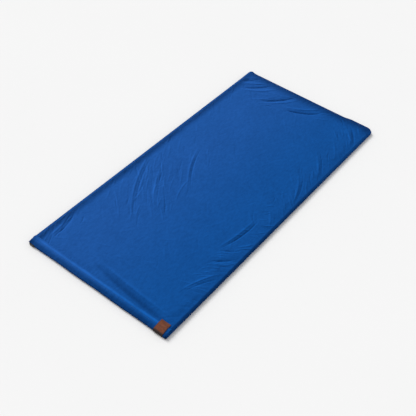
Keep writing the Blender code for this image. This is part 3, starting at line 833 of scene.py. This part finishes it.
def settle_cloth(obj, held, limit, pressure=4.0, slack=0.006, frames=20):
    """Lets the padding swell the lid's panel by a cloth simulation, and caps how far a point moves."""
    group = obj.vertex_groups.new(name="sewn down")
    for index, weight in enumerate(held):
        if weight > 0.01:
            group.add([index], float(weight), "REPLACE")
    cloth = obj.modifiers.new("padding", "CLOTH")
    settings = cloth.settings
    settings.quality = 4
    settings.mass = 0.4
    settings.tension_stiffness = 12
    settings.compression_stiffness = 12
    settings.shear_stiffness = 4
    settings.bending_stiffness = 0.6
    settings.shrink_min = -slack
    settings.use_pressure = True
    settings.uniform_pressure_force = pressure
    settings.effector_weights.gravity = 0
    settings.vertex_group_mass = group.name
    cloth.collision_settings.use_collision = False
    scene = bpy.context.scene
    for number in range(1, frames + 1):
        scene.frame_set(number)
    graph = bpy.context.evaluated_depsgraph_get()
    settled = obj.evaluated_get(graph).data
    count = len(obj.data.vertices)
    before = np.empty(count * 3)
    after = np.empty(count * 3)
    obj.data.vertices.foreach_get("co", before)
    settled.vertices.foreach_get("co", after)
    before = before.reshape(-1, 3)
    move = after.reshape(-1, 3) - before
    distance = np.linalg.norm(move, axis=1, keepdims=True)
    move *= np.minimum(1.0, limit / np.maximum(distance, 1e-9))
    move[:, 2] = np.maximum(move[:, 2], -0.0012)
    obj.modifiers.remove(cloth)
    obj.vertex_groups.remove(group)
    scene.frame_set(1)
    return before + move


# ---------------------------------------------------------------- operators


class BlanketOperator:
    """What every operator of the blanket shares."""

    bl_options = {"REGISTER", "UNDO"}

    @property
    def sizes(self):
        return bpy.context.scene.sauna_blanket.sizes

    @property
    def colours(self):
        return bpy.context.scene.sauna_blanket.colours


class SAUNA_OT_lid_cover(BlanketOperator, bpy.types.Operator):
    """Build the lid's velour cover over its padding"""

    bl_idname = "sauna_blanket.lid_cover"
    bl_label = "Lid Cover"

    def execute(self, context):
        sizes = self.sizes
        roll = sizes.edge_roll
        corner = 0.014
        inset = Vector((roll, roll, 0))
        overhang = Vector((sizes.overhang, sizes.overhang * 0.52, 0))
        low = LID_LOW + inset - Vector((overhang.x, 0, 0))
        high = LID_HIGH - inset + Vector((0, overhang.y, 0))
        material = velour(self.colours)
        creases = [*CREASES, *small_wrinkles()]

        padding = self.padding(low, high, 0.0095, corner, sizes, material)
        bm = panel_grid(low, high, sizes.cover_cell, corner)
        points = points_of(bm.verts)
        edge = edge_distance(points, low - inset, high + inset)
        above = Vector((0, 0, 1))
        for point in points:
            hit = padding.find_nearest(Vector((point[0], point[1], LID_HIGH.z)))[0]
            down = padding.ray_cast(Vector((point[0], point[1], 1.0)), -above)[0]
            point[2] = (down or hit).z
        fine = noise_at(points, 26, 8.4, 4) * 0.00035
        puckers = 0.0004 * np.sin((points[:, 0] + points[:, 1]) * 420)
        puckers *= smoothstep(0.006, 0.014, edge) * (1 - smoothstep(0.014, 0.030, edge))
        relief = crease_relief(points, creases, sizes.crease_strength)
        points[:, 2] += relief * smoothstep(0.005, 0.018, edge) + fine + puckers
        ceiling, give = LID_HIGH.z + 0.0090, 0.0006
        points[:, 2] = ceiling - give * np.logaddexp(0, (ceiling - points[:, 2]) / give)
        seam = np.exp(-(((points[:, 0] - low.x - 0.005) / 0.0022) ** 2))
        points[:, 2] -= 0.0009 * seam
        painted_shading = painted_lid_shading(points, creases, sizes.crease_strength)
        points = lid_outline(points)
        set_points(bm.verts, points)

        roll_edge(bm, low, high, corner, roll, -roll, 5)
        side_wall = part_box("side_zip_slider")[1][0] + ZIP_CLEAR
        foot_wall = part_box("foot_zip_slider")[0][1] - ZIP_CLEAR

        def behind_zips(point):
            way = outwards(point, low, high, corner)
            x = max(point.x, side_wall) if way.x < 0 else point.x
            y = min(point.y, foot_wall) if way.y > 0 else point.y
            return Vector((x, y, point.z + 0.0002))

        extend_edge(bm, lambda point: (point + behind_zips(point)) / 2)
        extend_edge(bm, behind_zips)
        floor_of_lid = LID_LOW.z + 0.0001

        def to_wall_foot(point):
            point.z = floor_of_lid
            return point

        extend_edge(bm, lambda point: Vector((point.x, point.y, (point.z + floor_of_lid) / 2)))
        extend_edge(bm, to_wall_foot)

        def to_lip(point):
            way = outwards(point, low, high, corner)
            reach_x = 0.002 if way.x < 0 else LIP_REACH
            reach_y = 0.002 if way.y > 0 else LIP_REACH
            return point - Vector((way.x * reach_x, way.y * reach_y, 0))

        extend_edge(bm, to_lip)
        extend_edge(bm, edge_mover(low, high, corner, 0.0, LIP_DEPTH))
        close_edge(bm)
        obj = add_piece("lid_cover", bm, material, "lid", ("upper_cover", "upper_wadding"))
        # painted shade on all the cover's walls
        walls = len(obj.data.vertices) - len(painted_shading)
        set_painted_shading(obj.data, np.concatenate([painted_shading, np.full(walls, -0.75)]))
        return {"FINISHED"}

    @staticmethod
    def padding(low, high, cell, corner, sizes, material):
        """The surface that the padding gives the lid: a coarse panel, swollen by simulation."""
        bm = panel_grid(low, high, cell, corner)
        points = points_of(bm.verts)
        edge = edge_distance(points, low, high) + sizes.edge_roll
        swell = noise_at(points, 4.5, 3.1)
        points[:, 2] = LID_HIGH.z + sizes.loft * smoothstep(0.0, 0.055, edge)
        points[:, 2] += 0.0011 * swell * smoothstep(0.01, 0.08, edge)
        set_points(bm.verts, points)
        obj = add_piece("lid_padding", bm, material)
        valleys = crease_relief(points, [crease for crease in CREASES if crease[3] < 0], 1.0)
        held = np.maximum(1 - smoothstep(0.006, 0.020, edge), np.clip(-valleys / 0.002, 0, 1) * 0.9)
        points = settle_cloth(obj, held, sizes.swell_limit)
        mesh = obj.data
        mesh.vertices.foreach_set("co", points.astype(np.float32).ravel())
        tree = surface_of(obj)
        bpy.data.objects.remove(obj)
        bpy.data.meshes.remove(mesh)
        return tree


class SAUNA_OT_base_cover(BlanketOperator, bpy.types.Operator):
    """Build the lower half's velour cover, which rests flat on the floor"""

    bl_idname = "sauna_blanket.base_cover"
    bl_label = "Base Cover"

    def execute(self, context):
        sizes = self.sizes
        roll = 0.0042
        corner = 0.012
        inset = Vector((roll, roll, 0))
        bm = panel_grid(BASE_LOW + inset, BASE_HIGH - inset, sizes.cover_cell * 1.6, corner)
        points = points_of(bm.verts)
        edge = edge_distance(points, BASE_LOW, BASE_HIGH)
        points[:, 2] = 0.0004 * np.abs(noise_at(points, 9, 5.5)) * smoothstep(0.02, 0.08, edge)
        set_points(bm.verts, points)
        roll_edge(bm, BASE_LOW, BASE_HIGH, corner, roll, roll, 4)
        inlet_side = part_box("inlet_bezel")[0][0]

        def to_height(height, recess=0.0):
            def move(point):
                way = outwards(point, BASE_LOW, BASE_HIGH, corner)
                beside_inlet = float(smoothstep(inlet_side - 0.030, inlet_side, point.x))
                moved = Vector((point.x, point.y, height))
                moved.x += max(-way.x, 0.0) * recess
                moved.y -= max(way.y, 0.0) * recess * (1 - beside_inlet)
                return moved

            return move

        zip_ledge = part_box("side_zip_slider")[0][2] - 0.0006
        extend_edge(bm, to_height(zip_ledge))
        extend_edge(bm, to_height(zip_ledge + 0.0002, sizes.zip_recess))
        extend_edge(bm, to_height(BASE_HIGH.z))
        extend_edge(bm, edge_mover(BASE_LOW, BASE_HIGH, corner, -LIP_REACH, 0.0))
        extend_edge(bm, edge_mover(BASE_LOW, BASE_HIGH, corner, 0.0, -LIP_DEPTH))
        close_edge(bm)
        # the underside velour is a darker copy, painted shade for the half under the lid
        obj = add_piece(
            "base_cover",
            bm,
            velour(self.colours, "underside velour", 0.9),
            "lower_half",
            ("lower_cover", "lower_wadding"),
        )
        self.cut_inlet(obj)
        places = np.array([vert.co for vert in obj.data.vertices])
        # painted shade: the cover darkens from where it lies on the floor up its walls, under the lid's
        # overhang
        set_painted_shading(obj.data, -0.15 - 0.6 * smoothstep(0.0008, 0.004, places[:, 2]))
        return {"FINISHED"}

    @staticmethod
    def cut_inlet(obj):
        """Opens the cover behind the inlet's bezel."""
        low, high = (Vector(corner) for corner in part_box("inlet_housing"))
        clear = Vector((0.0004, 0.0004, 0.0001))
        bm = bmesh.new()
        bmesh.ops.create_cube(bm, size=1.0)
        reach = Vector((0, 0.004, 0))
        size = high - low + 2 * clear + 2 * reach
        bmesh.ops.scale(bm, vec=size, verts=bm.verts)
        bmesh.ops.translate(bm, vec=(low + high) / 2 + reach, verts=bm.verts)
        mesh = bpy.data.meshes.new("inlet cutter")
        bm.to_mesh(mesh)
        bm.free()
        cutter = bpy.data.objects.new("inlet cutter", mesh)
        bpy.context.scene.collection.objects.link(cutter)
        modifier = obj.modifiers.new("inlet", "BOOLEAN")
        modifier.operation = "DIFFERENCE"
        modifier.object = cutter
        graph = bpy.context.evaluated_depsgraph_get()
        cut = bpy.data.meshes.new_from_object(obj.evaluated_get(graph))
        obj.modifiers.remove(modifier)
        obj.data = cut
        bpy.data.objects.remove(cutter)
        bpy.data.meshes.remove(mesh)


HEM_RIDGE = 0.0365  # from the head end to the hem's ridge
HEM_LIP = 0.0530  # from the head end to where the hem's allowance dies into the lid


def hem_height(y, crown):
    """The rolled hem's top at a distance y from the head end: it climbs to a ridge and dies into the lid."""
    climb = max(0.0, 1 - y / HEM_RIDGE)
    ridge = math.exp(-(((y - HEM_RIDGE) / 0.0085) ** 2))
    past = max(0.0, (y - HEM_LIP + 0.010) / 0.010)
    return HEM_HIGH.z - 0.0062 * climb**2.0 + crown * ridge + 0.0006 - 0.0022 * min(past, 1.0) ** 2


class SAUNA_OT_head_hem(BlanketOperator, bpy.types.Operator):
    """Build the rolled velour hem across the head end, with its seam"""

    bl_idname = "sauna_blanket.head_hem"
    bl_label = "Head Hem"

    def execute(self, context):
        crown = self.sizes.hem_crown
        reach = HEM_HIGH.y - HEM_LOW.y
        roll_back = 0.0115
        top = [(HEM_LOW.y + y, hem_height(y, crown)) for y in np.linspace(0.0019, HEM_LIP, 20)]
        front = HEM_LOW.y
        profile = [
            (HEM_HIGH.y, HEM_HIGH.z - 0.0044),
            (front + roll_back, HEM_HIGH.z - 0.0044),
            (front + roll_back, HEM_LOW.z + 0.0028),
            (front + roll_back - 0.0026, HEM_LOW.z),
            (front + 0.0036, HEM_LOW.z),
            (front + 0.0012, HEM_LOW.z + 0.0015),
            (front + 0.0001, HEM_LOW.z + 0.0048),
            (front, HEM_LOW.z + 0.0085),
            (front + 0.0006, HEM_LOW.z + 0.0112),
            *top,
            (HEM_LOW.y + HEM_LIP - 0.001, HEM_HIGH.z - 0.0030),
        ]
        steps = round((HEM_HIGH.x - HEM_LOW.x) / (self.sizes.cover_cell * 0.8))
        overhang = self.sizes.overhang
        bm = sweep_profile(profile, HEM_LOW.x - overhang * 0.8, HEM_HIGH.x + 0.0001, steps, "X")
        points = points_of(bm.verts)
        self.shape_roll(points, reach)
        on_top = smoothstep(HEM_HIGH.z - 0.002, HEM_HIGH.z, points[:, 2])
        points[:, 2] += on_top * crease_relief(points, CREASES, self.sizes.crease_strength)
        set_points(bm.verts, points)
        hem = add_piece("rolled_hem", bm, velour(self.colours, "hem velour"), "lid", ("head_hem",))
        places = np.array([vert.co for vert in hem.data.vertices])
        set_painted_shading(hem.data, self.painted_hem_shading(places, self.sizes.crease_strength))
        tree = surface_of(hem)
        seam = HEM_LOW.y + reach * 0.70
        thread = sewing_thread("blue thread", self.colours.thread)
        pitch = self.sizes.stitch_pitch
        places = seam_places(tree, (HEM_LOW.x + 0.006, seam), (TAB_LOW.x - 0.002, seam), pitch)
        places += seam_places(tree, (TAB_HIGH.x + 0.002, seam), (HEM_HIGH.x - 0.004, seam), pitch)
        sew("hem_stitches", places, thread, "lid")
        return {"FINISHED"}

    @staticmethod
    def painted_hem_shading(places, strength):
        """Painted light and shade on the hem: a painted highlight along the ridge, painted shade on the outer
        band, in front and towards the zip side, and a painted falloff across.
        """
        y = places[:, 1] - HEM_LOW.y
        along = (places[:, 0] - LID_LOW.x) / WIDTH
        waver = noise_at(np.stack([places[:, 0], y * 0.2], axis=1), 12, 3.3)
        ridge = np.exp(-(((y - HEM_RIDGE + 0.001 - 0.002 * waver) / 0.0070) ** 2))
        ridge *= (0.75 + 0.45 * waver) * smoothstep(0.0, 0.10, along) * (1 - smoothstep(0.93, 0.97, along))
        painted_outer_shade = 1 - smoothstep(0.008, 0.030, y)
        painted_low_shade = 1 - smoothstep(HEM_LOW.z + 0.004, HEM_HIGH.z - 0.004, places[:, 2])
        relief = np.clip(crease_relief(places, CREASES, strength) * 95, -0.6, 0.3)
        painted_light_gradient = 0.08 - 0.22 * along
        painted_zip_side_shade = 0.4 * (1 - smoothstep(0.0, 0.030, places[:, 0] - LID_LOW.x))
        return 1.15 * ridge - 0.72 * painted_outer_shade - 0.25 * painted_low_shade + relief + painted_light_gradient - painted_zip_side_shade

    @staticmethod
    def shape_roll(points, reach):
        """Lifts the roll over the zip garage, pulls in the seam between stitches and slackens the front."""
        x = points[:, 0]
        share = (points[:, 1] - HEM_LOW.y) / reach
        over_garage = x < GARAGE_HIGH.x + 0.0005
        lowest = GARAGE_HIGH.z + 0.0004
        points[over_garage, 2] = np.maximum(points[over_garage, 2], lowest)
        on_top = smoothstep(HEM_HIGH.z - 0.006, HEM_HIGH.z - 0.001, points[:, 2])
        seam = np.exp(-(((share - 0.70) / 0.07) ** 2))
        points[:, 2] -= on_top * seam * 0.0011
        points[:, 2] += on_top * seam * 0.0003 * np.sin(x * 2 * math.pi / 0.0092)
        slack = noise_at(np.stack([x, points[:, 1] * 0.3, x], axis=1), 14, 2.2)
        points[:, 2] += on_top * 0.0009 * slack
        front = 1 - smoothstep(0.0, 0.3, share)
        points[:, 1] += front * 0.0007 * np.sin(x * 23.0 + 1.0)


class SAUNA_OT_fold_skin(BlanketOperator, bpy.types.Operator):
    """Build the velour that runs round the fold and joins the two halves"""

    bl_idname = "sauna_blanket.fold_skin"
    bl_label = "Fold Skin"

    def execute(self, context):
        hinge_x = LID_HIGH.x
        thickness = 0.0009
        half = MEETING
        start = HEM_LOW.y + 0.0015
        end = LID_HIGH.y - 0.002
        bulge = 0.0078
        lap = 0.0032
        path = []
        turns = 14
        for i in range(turns + 1):
            turn = math.pi / 2 - math.pi * i / turns
            out = (bulge + lap) * max(0.0, math.cos(turn)) ** 0.8
            path.append(Vector((hinge_x - lap + out, half + (half - 0.0008) * math.sin(turn))))
        profile = thick_profile(path, -thickness)
        bm = sweep_profile(profile, start, end, round((end - start) / 0.008), "Y")
        points = points_of(bm.verts)
        bulging = smoothstep(hinge_x - 0.002, hinge_x + bulge, points[:, 0])
        wander = noise_at(np.stack([points[:, 1], points[:, 1] * 0, points[:, 2]], axis=1), 11, 6.6)
        points[:, 0] += bulging * 0.0005 * wander
        points[:, 0] -= bulging * 0.6 * bulge * smoothstep(end - 0.014, end + 0.004, points[:, 1])
        set_points(bm.verts, points)
        skin = add_piece("fold_skin", bm, velour(self.colours, "fold velour"))
        # painted shade: the side of the fold is dark, a little lighter towards the foot
        set_painted_shading(skin.data, -0.95 + 0.35 * smoothstep(-0.2, 0.7, points[:, 1]))
        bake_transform(skin)
        return {"FINISHED"}


class SAUNA_OT_liners(BlanketOperator, bpy.types.Operator):
    """Build the quilted waterproof liners inside the bag"""

    bl_idname = "sauna_blanket.liners"
    bl_label = "Quilted Liners"

    def execute(self, context):
        material = liner_leather(self.colours)
        thread = sewing_thread("black thread", (0.02, 0.02, 0.022))
        self.quilt("lower", 1, "lower_half", material, thread)
        self.quilt("upper", -1, "lid", material, thread)
        return {"FINISHED"}

    def quilt(self, half, side, body, material, thread):
        """One liner. side is 1 where it faces up, and -1 where it faces down."""
        sizes = self.sizes
        low, high = (Vector(corner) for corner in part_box(f"{half}_liner"))
        inset = Vector((0.004, 0.004, 0))
        low, high = low + inset, high - inset
        bm = panel_grid(low, high, sizes.cover_cell * 1.9, 0.008)
        points = points_of(bm.verts)
        edge = edge_distance(points, low, high)
        border = 0.03
        long_stitch = 0.0062
        pitch = (high.y - low.y - 2 * border) / sizes.quilt_channels
        phase = (points[:, 1] - low.y - border) / pitch
        from_channel = np.abs(phase - np.round(phase)) * pitch
        inside = smoothstep(0.026, 0.034, edge)
        sunk = np.exp(-((from_channel / 0.0060) ** 2)) * inside
        sunk = np.maximum(sunk, np.exp(-(((edge - border) / 0.0060) ** 2)))
        sunk = np.maximum(sunk, 1 - smoothstep(0.0, 0.006, edge))
        wrinkle = 0.00012 * noise_at(points, 24, 1.7 if side > 0 else 4.9)
        face = high.z if side > 0 else low.z
        points[:, 2] = face + side * (sizes.quilt_puff * (1 - sunk) - sizes.quilt_depth * sunk + wrinkle)
        set_points(bm.verts, points)
        if side < 0:
            bmesh.ops.reverse_faces(bm, faces=bm.faces)
        obj = add_piece(f"{half}_quilted_liner", bm, material, body, (f"{half}_liner",))
        tree = surface_of(obj)
        thickness = obj.modifiers.new("liner thickness", "SOLIDIFY")
        thickness.thickness = 0.0005
        thickness.offset = -1
        places = []
        left, right, head, foot = low.x + border, high.x - border, low.y + border, high.y - border
        for channel in range(sizes.quilt_channels + 1):
            y = head + channel * pitch
            places += seam_places(tree, (left, y), (right, y), long_stitch, side > 0)
        for x in (left, right):
            places += seam_places(tree, (x, head), (x, foot), long_stitch, side > 0)
        sew(f"{half}_quilt_stitches", places, thread, body, 0.0042, 0.0005)


class SAUNA_OT_leather_tab(BlanketOperator, bpy.types.Operator):
    """Build the leather tab folded over the rolled hem"""

    bl_idname = "sauna_blanket.leather_tab"
    bl_label = "Leather Tab"

    def execute(self, context):
        crown = self.sizes.hem_crown
        thick = 0.0017
        rest = thick + 0.0004
        over_hem = [(HEM_LOW.y + y, hem_height(y, crown) + rest) for y in (HEM_RIDGE, 0.022, 0.009)]
        path = [
            (TAB_HIGH.y, HEM_HIGH.z + 0.0012 + rest),
            (HEM_LOW.y + HEM_LIP - 0.003, HEM_HIGH.z + 0.0016 + rest),
            *over_hem,
            (HEM_LOW.y - rest, HEM_HIGH.z - 0.0042),
            (HEM_LOW.y - rest - 0.0004, MEETING),
            (HEM_LOW.y - rest, TAB_LOW.z + 0.0028),
            (HEM_LOW.y + 0.0022, TAB_LOW.z + 0.0001),
            (HEM_LOW.y + 0.0100, TAB_LOW.z + 0.0001),
        ]
        smooth_path = rounded_path(path, 0.0040, 4)
        profile = thick_profile(smooth_path, thick)
        bm = sweep_profile(profile, TAB_LOW.x, TAB_HIGH.x, 22, "X")
        ends = [edge for edge in bm.edges if self.on_rim(edge)]
        bmesh.ops.bevel(
            bm,
            geom=ends,
            offset=0.00035,
            segments=2,
            profile=0.5,
            affect="EDGES",
            material=-1,
            clamp_overlap=True,
        )
        points = points_of(bm.verts)
        middle = (TAB_LOW.x + TAB_HIGH.x) / 2
        from_middle = (points[:, 0] - middle) / (TAB_HIGH.x - middle)
        far = smoothstep(HEM_HIGH.y, TAB_HIGH.y, points[:, 1])
        points[:, 2] += far * 0.0009 * from_middle**2 + 0.0002 * noise_at(points, 60, 9.1)
        set_points(bm.verts, points)
        # painted shade along the two cut sides, where a shadow gap lies beside the tab, and across the front
        # fold, which faces away from the light
        painted_rim_shading = smoothstep(0.88, 0.97, np.abs(from_middle))
        front = 1 - smoothstep(HEM_LOW.y + 0.0030, HEM_LOW.y + 0.0085, points[:, 1])
        material = tab_leather(self.colours)
        tab = add_piece("folded_leather_tab", bm, material, "lid", ("leather_tab",))
        set_measure(tab.data, "tab_painted_shade", np.maximum(painted_rim_shading * 0.8, front))
        tab.data.set_sharp_from_angle(angle=math.radians(45))
        tree = surface_of(tab)
        margin = 0.0045
        low_x, high_x = TAB_LOW.x + margin, TAB_HIGH.x - margin
        near_y, far_y = HEM_LOW.y + 0.006, TAB_HIGH.y - margin
        places = []
        for start, end in (
            ((low_x, near_y), (low_x, far_y)),
            ((high_x, near_y), (high_x, far_y)),
            ((low_x, far_y), (high_x, far_y)),
        ):
            places += seam_places(tree, start, end, 0.0042)
        thread = sewing_thread("tan thread", (0.115, 0.040, 0.022))
        sew("tab_stitches", places, thread, "lid", 0.0030, 0.00065)
        return {"FINISHED"}

    @staticmethod
    def on_rim(edge):
        """Whether an edge lies on one of the strip's two cut sides."""
        x0, x1 = (vert.co.x for vert in edge.verts)
        return any(abs(x0 - side) < 1e-6 and abs(x1 - side) < 1e-6 for side in (TAB_LOW.x, TAB_HIGH.x))


class SAUNA_OT_zip_garage(BlanketOperator, bpy.types.Operator):
    """Build the black webbing pocket at the head corner"""

    bl_idname = "sauna_blanket.zip_garage"
    bl_label = "Zip Garage"

    def execute(self, context):
        bm = rounded_box(GARAGE_LOW, GARAGE_HIGH, 0.0028, 4)
        bmesh.ops.subdivide_edges(
            bm, edges=[e for e in bm.edges if e.calc_length() > 0.006], cuts=4, use_grid_fill=True
        )
        points = points_of(bm.verts)
        centre = (GARAGE_LOW + GARAGE_HIGH) / 2
        size = GARAGE_HIGH - GARAGE_LOW
        pinch = np.exp(-(((points[:, 2] - centre.z) / 0.0012) ** 2))
        points[:, 1] += pinch * 0.0010 * np.sign(centre.y - points[:, 1])
        points[:, 2] += 0.0006 * np.cos((points[:, 0] - centre.x) / size.x * math.pi) - 0.0006
        points[:, 0] -= 0.0030 * (points[:, 0] < centre.x)
        points[:, 1] -= 0.0028 * (points[:, 1] < centre.y)
        set_points(bm.verts, points)
        material = webbing("garage webbing", (0.0022, 0.0022, 0.0026), 700)
        add_piece("folded_zip_garage", bm, material, "lower_half", ("zip_garage",))
        return {"FINISHED"}


class SAUNA_OT_zip_teeth(BlanketOperator, bpy.types.Operator):
    """Build the teeth of both zips on their beaded tapes"""

    bl_idname = "sauna_blanket.zip_teeth"
    bl_label = "Zip Teeth"

    def execute(self, context):
        material = plastic("zip teeth", (0.004, 0.012, 0.040), 0.34)
        for zip_name, along in (("side", 1), ("foot", 0)):
            for half, body in (("lower", "lower_half"), ("upper", "lid")):
                self.row(zip_name, half, body, along, material)
        return {"FINISHED"}

    def row(self, zip_name, half, body, along, material):
        node = f"{zip_name}_zip_chain_{half}"
        low, high = (Vector(corner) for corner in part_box(node))
        pitch = self.sizes.tooth_pitch
        side = 1 if half == "upper" else -1
        meets = low.z if side > 0 else high.z
        tape = high.z if side > 0 else low.z
        across = 1 - along
        middle = (low[across] + high[across]) / 2
        thick = high[across] - low[across]
        bm = self.tooth(along, middle, thick, meets, tape, pitch)
        count = int((high[along] - low[along]) / pitch)
        stagger = 0.25 if half == "lower" else 0.75
        step = Vector((1 - along, along, 0))
        repeat_shape(
            bm, [Matrix.Translation(step * (low[along] + (i + stagger) * pitch)) for i in range(count)]
        )
        bead = [0.0, 0.0, 0.0]
        bead[along] = high[along] - low[along]
        bead[across] = thick * 0.50
        bead[2] = 0.0013
        centre = (low + high) / 2
        centre.z = tape - side * 0.0002
        bead_matrix = Matrix.Translation(centre) @ Matrix.Diagonal((*bead, 1.0))
        bmesh.ops.create_cube(bm, size=1.0, matrix=bead_matrix)
        add_piece(f"{zip_name}_{half}_zip_teeth", bm, material, body, (node,), smooth=False)

    @staticmethod
    def tooth(along, middle, thick, meets, tape, pitch):
        """One moulded tooth: a narrow neck at the tape and a wider head where the rows meet."""
        across = 1 - along
        size = Vector((0, 0, abs(tape - meets)))
        size[along] = pitch * 0.50
        size[across] = thick
        bm = bmesh.new()
        bmesh.ops.create_cube(bm, size=1.0)
        bmesh.ops.scale(bm, vec=size, verts=bm.verts)
        at_tape = [vert for vert in bm.verts if vert.co.z * (tape - meets) > 0]
        narrow = Vector((0.75, 0.75, 1.0))
        bmesh.ops.scale(bm, vec=narrow, verts=at_tape)
        centre = Vector((0, 0, (meets + tape) / 2))
        centre[across] = middle
        bmesh.ops.translate(bm, vec=centre, verts=bm.verts)
        return bm


class SAUNA_OT_edge_seams(BlanketOperator, bpy.types.Operator):
    """Topstitch the lid along its zip sides"""

    bl_idname = "sauna_blanket.edge_seams"
    bl_label = "Edge Seams"

    def execute(self, context):
        lid = bpy.data.objects["lid_cover"]
        tree = surface_of(lid)
        inset = 0.0125
        x = LID_LOW.x + inset
        y = LID_HIGH.y - inset
        pitch = self.sizes.stitch_pitch
        places = seam_places(tree, (x, LID_LOW.y + 0.004), (x, y - 0.004), pitch)
        places += seam_places(tree, (x + 0.004, y), (LID_HIGH.x - 0.02, y), pitch)
        thread = sewing_thread("edge thread", self.colours.thread)
        sew("lid_edge_stitches", places, thread, "lid")
        return {"FINISHED"}


class SAUNA_OT_hardware(BlanketOperator, bpy.types.Operator):
    """Finish the zip hardware, the inlet and the parts inside"""

    bl_idname = "sauna_blanket.hardware"
    bl_label = "Hardware Finishes"

    def execute(self, context):
        finishes = {
            "gunmetal": metal("gunmetal", (0.085, 0.085, 0.092), 0.34),
            "steel": metal("screw steel", (0.56, 0.57, 0.58), 0.30),
            "contact": metal("plated contact", (0.78, 0.57, 0.22), 0.26),
            "black_plastic": plastic("inlet plastic", (0.018, 0.018, 0.020)),
            "zip_tape": webbing("zip tape", (0.003, 0.022, 0.090), 1100),
            "wadding": fibres("wadding", (0.78, 0.77, 0.73)),
            "felt": fibres("carbon felt", (0.30, 0.31, 0.32), 420, 0.0006),
            "foil": crinkled_foil("reflector foil", (0.80, 0.80, 0.81)),
            "heating_wire": plastic("silicone wire", (0.50, 0.055, 0.038), 0.5),
            "lead": plastic("lead sheath", (0.028, 0.028, 0.030), 0.5),
        }
        slots = {part["node"]: part["material_slot"] for part in frame["record"]["subparts"]}
        for name, obj in frame["nodes"].items():
            finish = finishes.get(slots[name])
            if finish is None:
                continue
            for place in obj.material_slots:
                place.material = finish
        return {"FINISHED"}


class SAUNA_OT_stage(BlanketOperator, bpy.types.Operator):
    """Set the pale floor, the soft studio light and the camera"""

    bl_idname = "sauna_blanket.stage"
    bl_label = "Studio Stage"

    def execute(self, context):
        scene = context.scene
        bm = bmesh.new()
        bmesh.ops.create_grid(bm, x_segments=1, y_segments=1, size=9.0)
        mesh = bpy.data.meshes.new("studio_floor")
        bm.to_mesh(mesh)
        bm.free()
        mesh.materials.append(studio_floor(self.colours))
        floor = bpy.data.objects.new("studio_floor", mesh)
        scene.collection.objects.link(floor)

        world = bpy.data.worlds.new("studio")
        world.use_nodes = True
        background = world.node_tree.nodes["Background"]
        background.inputs["Color"].default_value = (1.0, 1.0, 1.0, 1.0)
        background.inputs["Strength"].default_value = 0.66
        scene.world = world

        light = bpy.data.lights.new("window", "SUN")
        light.energy = 2.1
        light.angle = math.radians(30)
        window = bpy.data.objects.new("window", light)
        height = math.radians(45)
        level = math.cos(height)
        way = Vector((LIGHT_SIDE[0] * level, LIGHT_SIDE[1] * level, math.sin(height)))
        window.rotation_euler = (-way).to_track_quat("-Z", "Y").to_euler()
        scene.collection.objects.link(window)

        camera = bpy.data.cameras.new("studio_camera")
        camera.lens = 65.19
        camera.sensor_width = 36.0
        camera.clip_end = 50.0
        view = bpy.data.objects.new("studio_camera", camera)
        right = Vector((0.78737, 0.61489, 0.04437))
        up = Vector((-0.46752, 0.54865, 0.69311))
        back = right.cross(up).normalized()
        turn = Matrix((right, up, back)).transposed().to_4x4()
        view.matrix_world = Matrix.Translation((1.601, -2.305, 2.723)) @ turn
        scene.collection.objects.link(view)
        scene.camera = view
        scene.view_settings.view_transform = "Standard"
        return {"FINISHED"}


class SAUNA_PT_blanket(bpy.types.Panel):
    """The blanket's pieces, sizes and colours"""

    bl_idname = "SAUNA_PT_blanket"
    bl_label = "Sauna Blanket"
    bl_space_type = "VIEW_3D"
    bl_region_type = "UI"
    bl_category = "Sauna Blanket"

    def draw(self, context):
        settings = context.scene.sauna_blanket
        for group in (settings.sizes, settings.colours):
            box = self.layout.box()
            for name in group.__annotations__:
                box.prop(group, name)
        for operator in OPERATORS:
            self.layout.operator(operator.bl_idname)


OPERATORS = (
    SAUNA_OT_stage,
    SAUNA_OT_lid_cover,
    SAUNA_OT_base_cover,
    SAUNA_OT_head_hem,
    SAUNA_OT_fold_skin,
    SAUNA_OT_liners,
    SAUNA_OT_leather_tab,
    SAUNA_OT_zip_garage,
    SAUNA_OT_zip_teeth,
    SAUNA_OT_edge_seams,
    SAUNA_OT_hardware,
)
CLASSES = (BlanketSizes, BlanketColours, BlanketSettings, *OPERATORS, SAUNA_PT_blanket)


def register():
    for cls in CLASSES:
        bpy.utils.register_class(cls)
    bpy.types.Scene.sauna_blanket = PointerProperty(type=BlanketSettings)


def unregister():
    del bpy.types.Scene.sauna_blanket
    for cls in reversed(CLASSES):
        bpy.utils.unregister_class(cls)


def main():
    register()
    for operator in OPERATORS:
        group, name = operator.bl_idname.split(".")
        getattr(getattr(bpy.ops, group), name)()


if __name__ == "__main__":
    main()
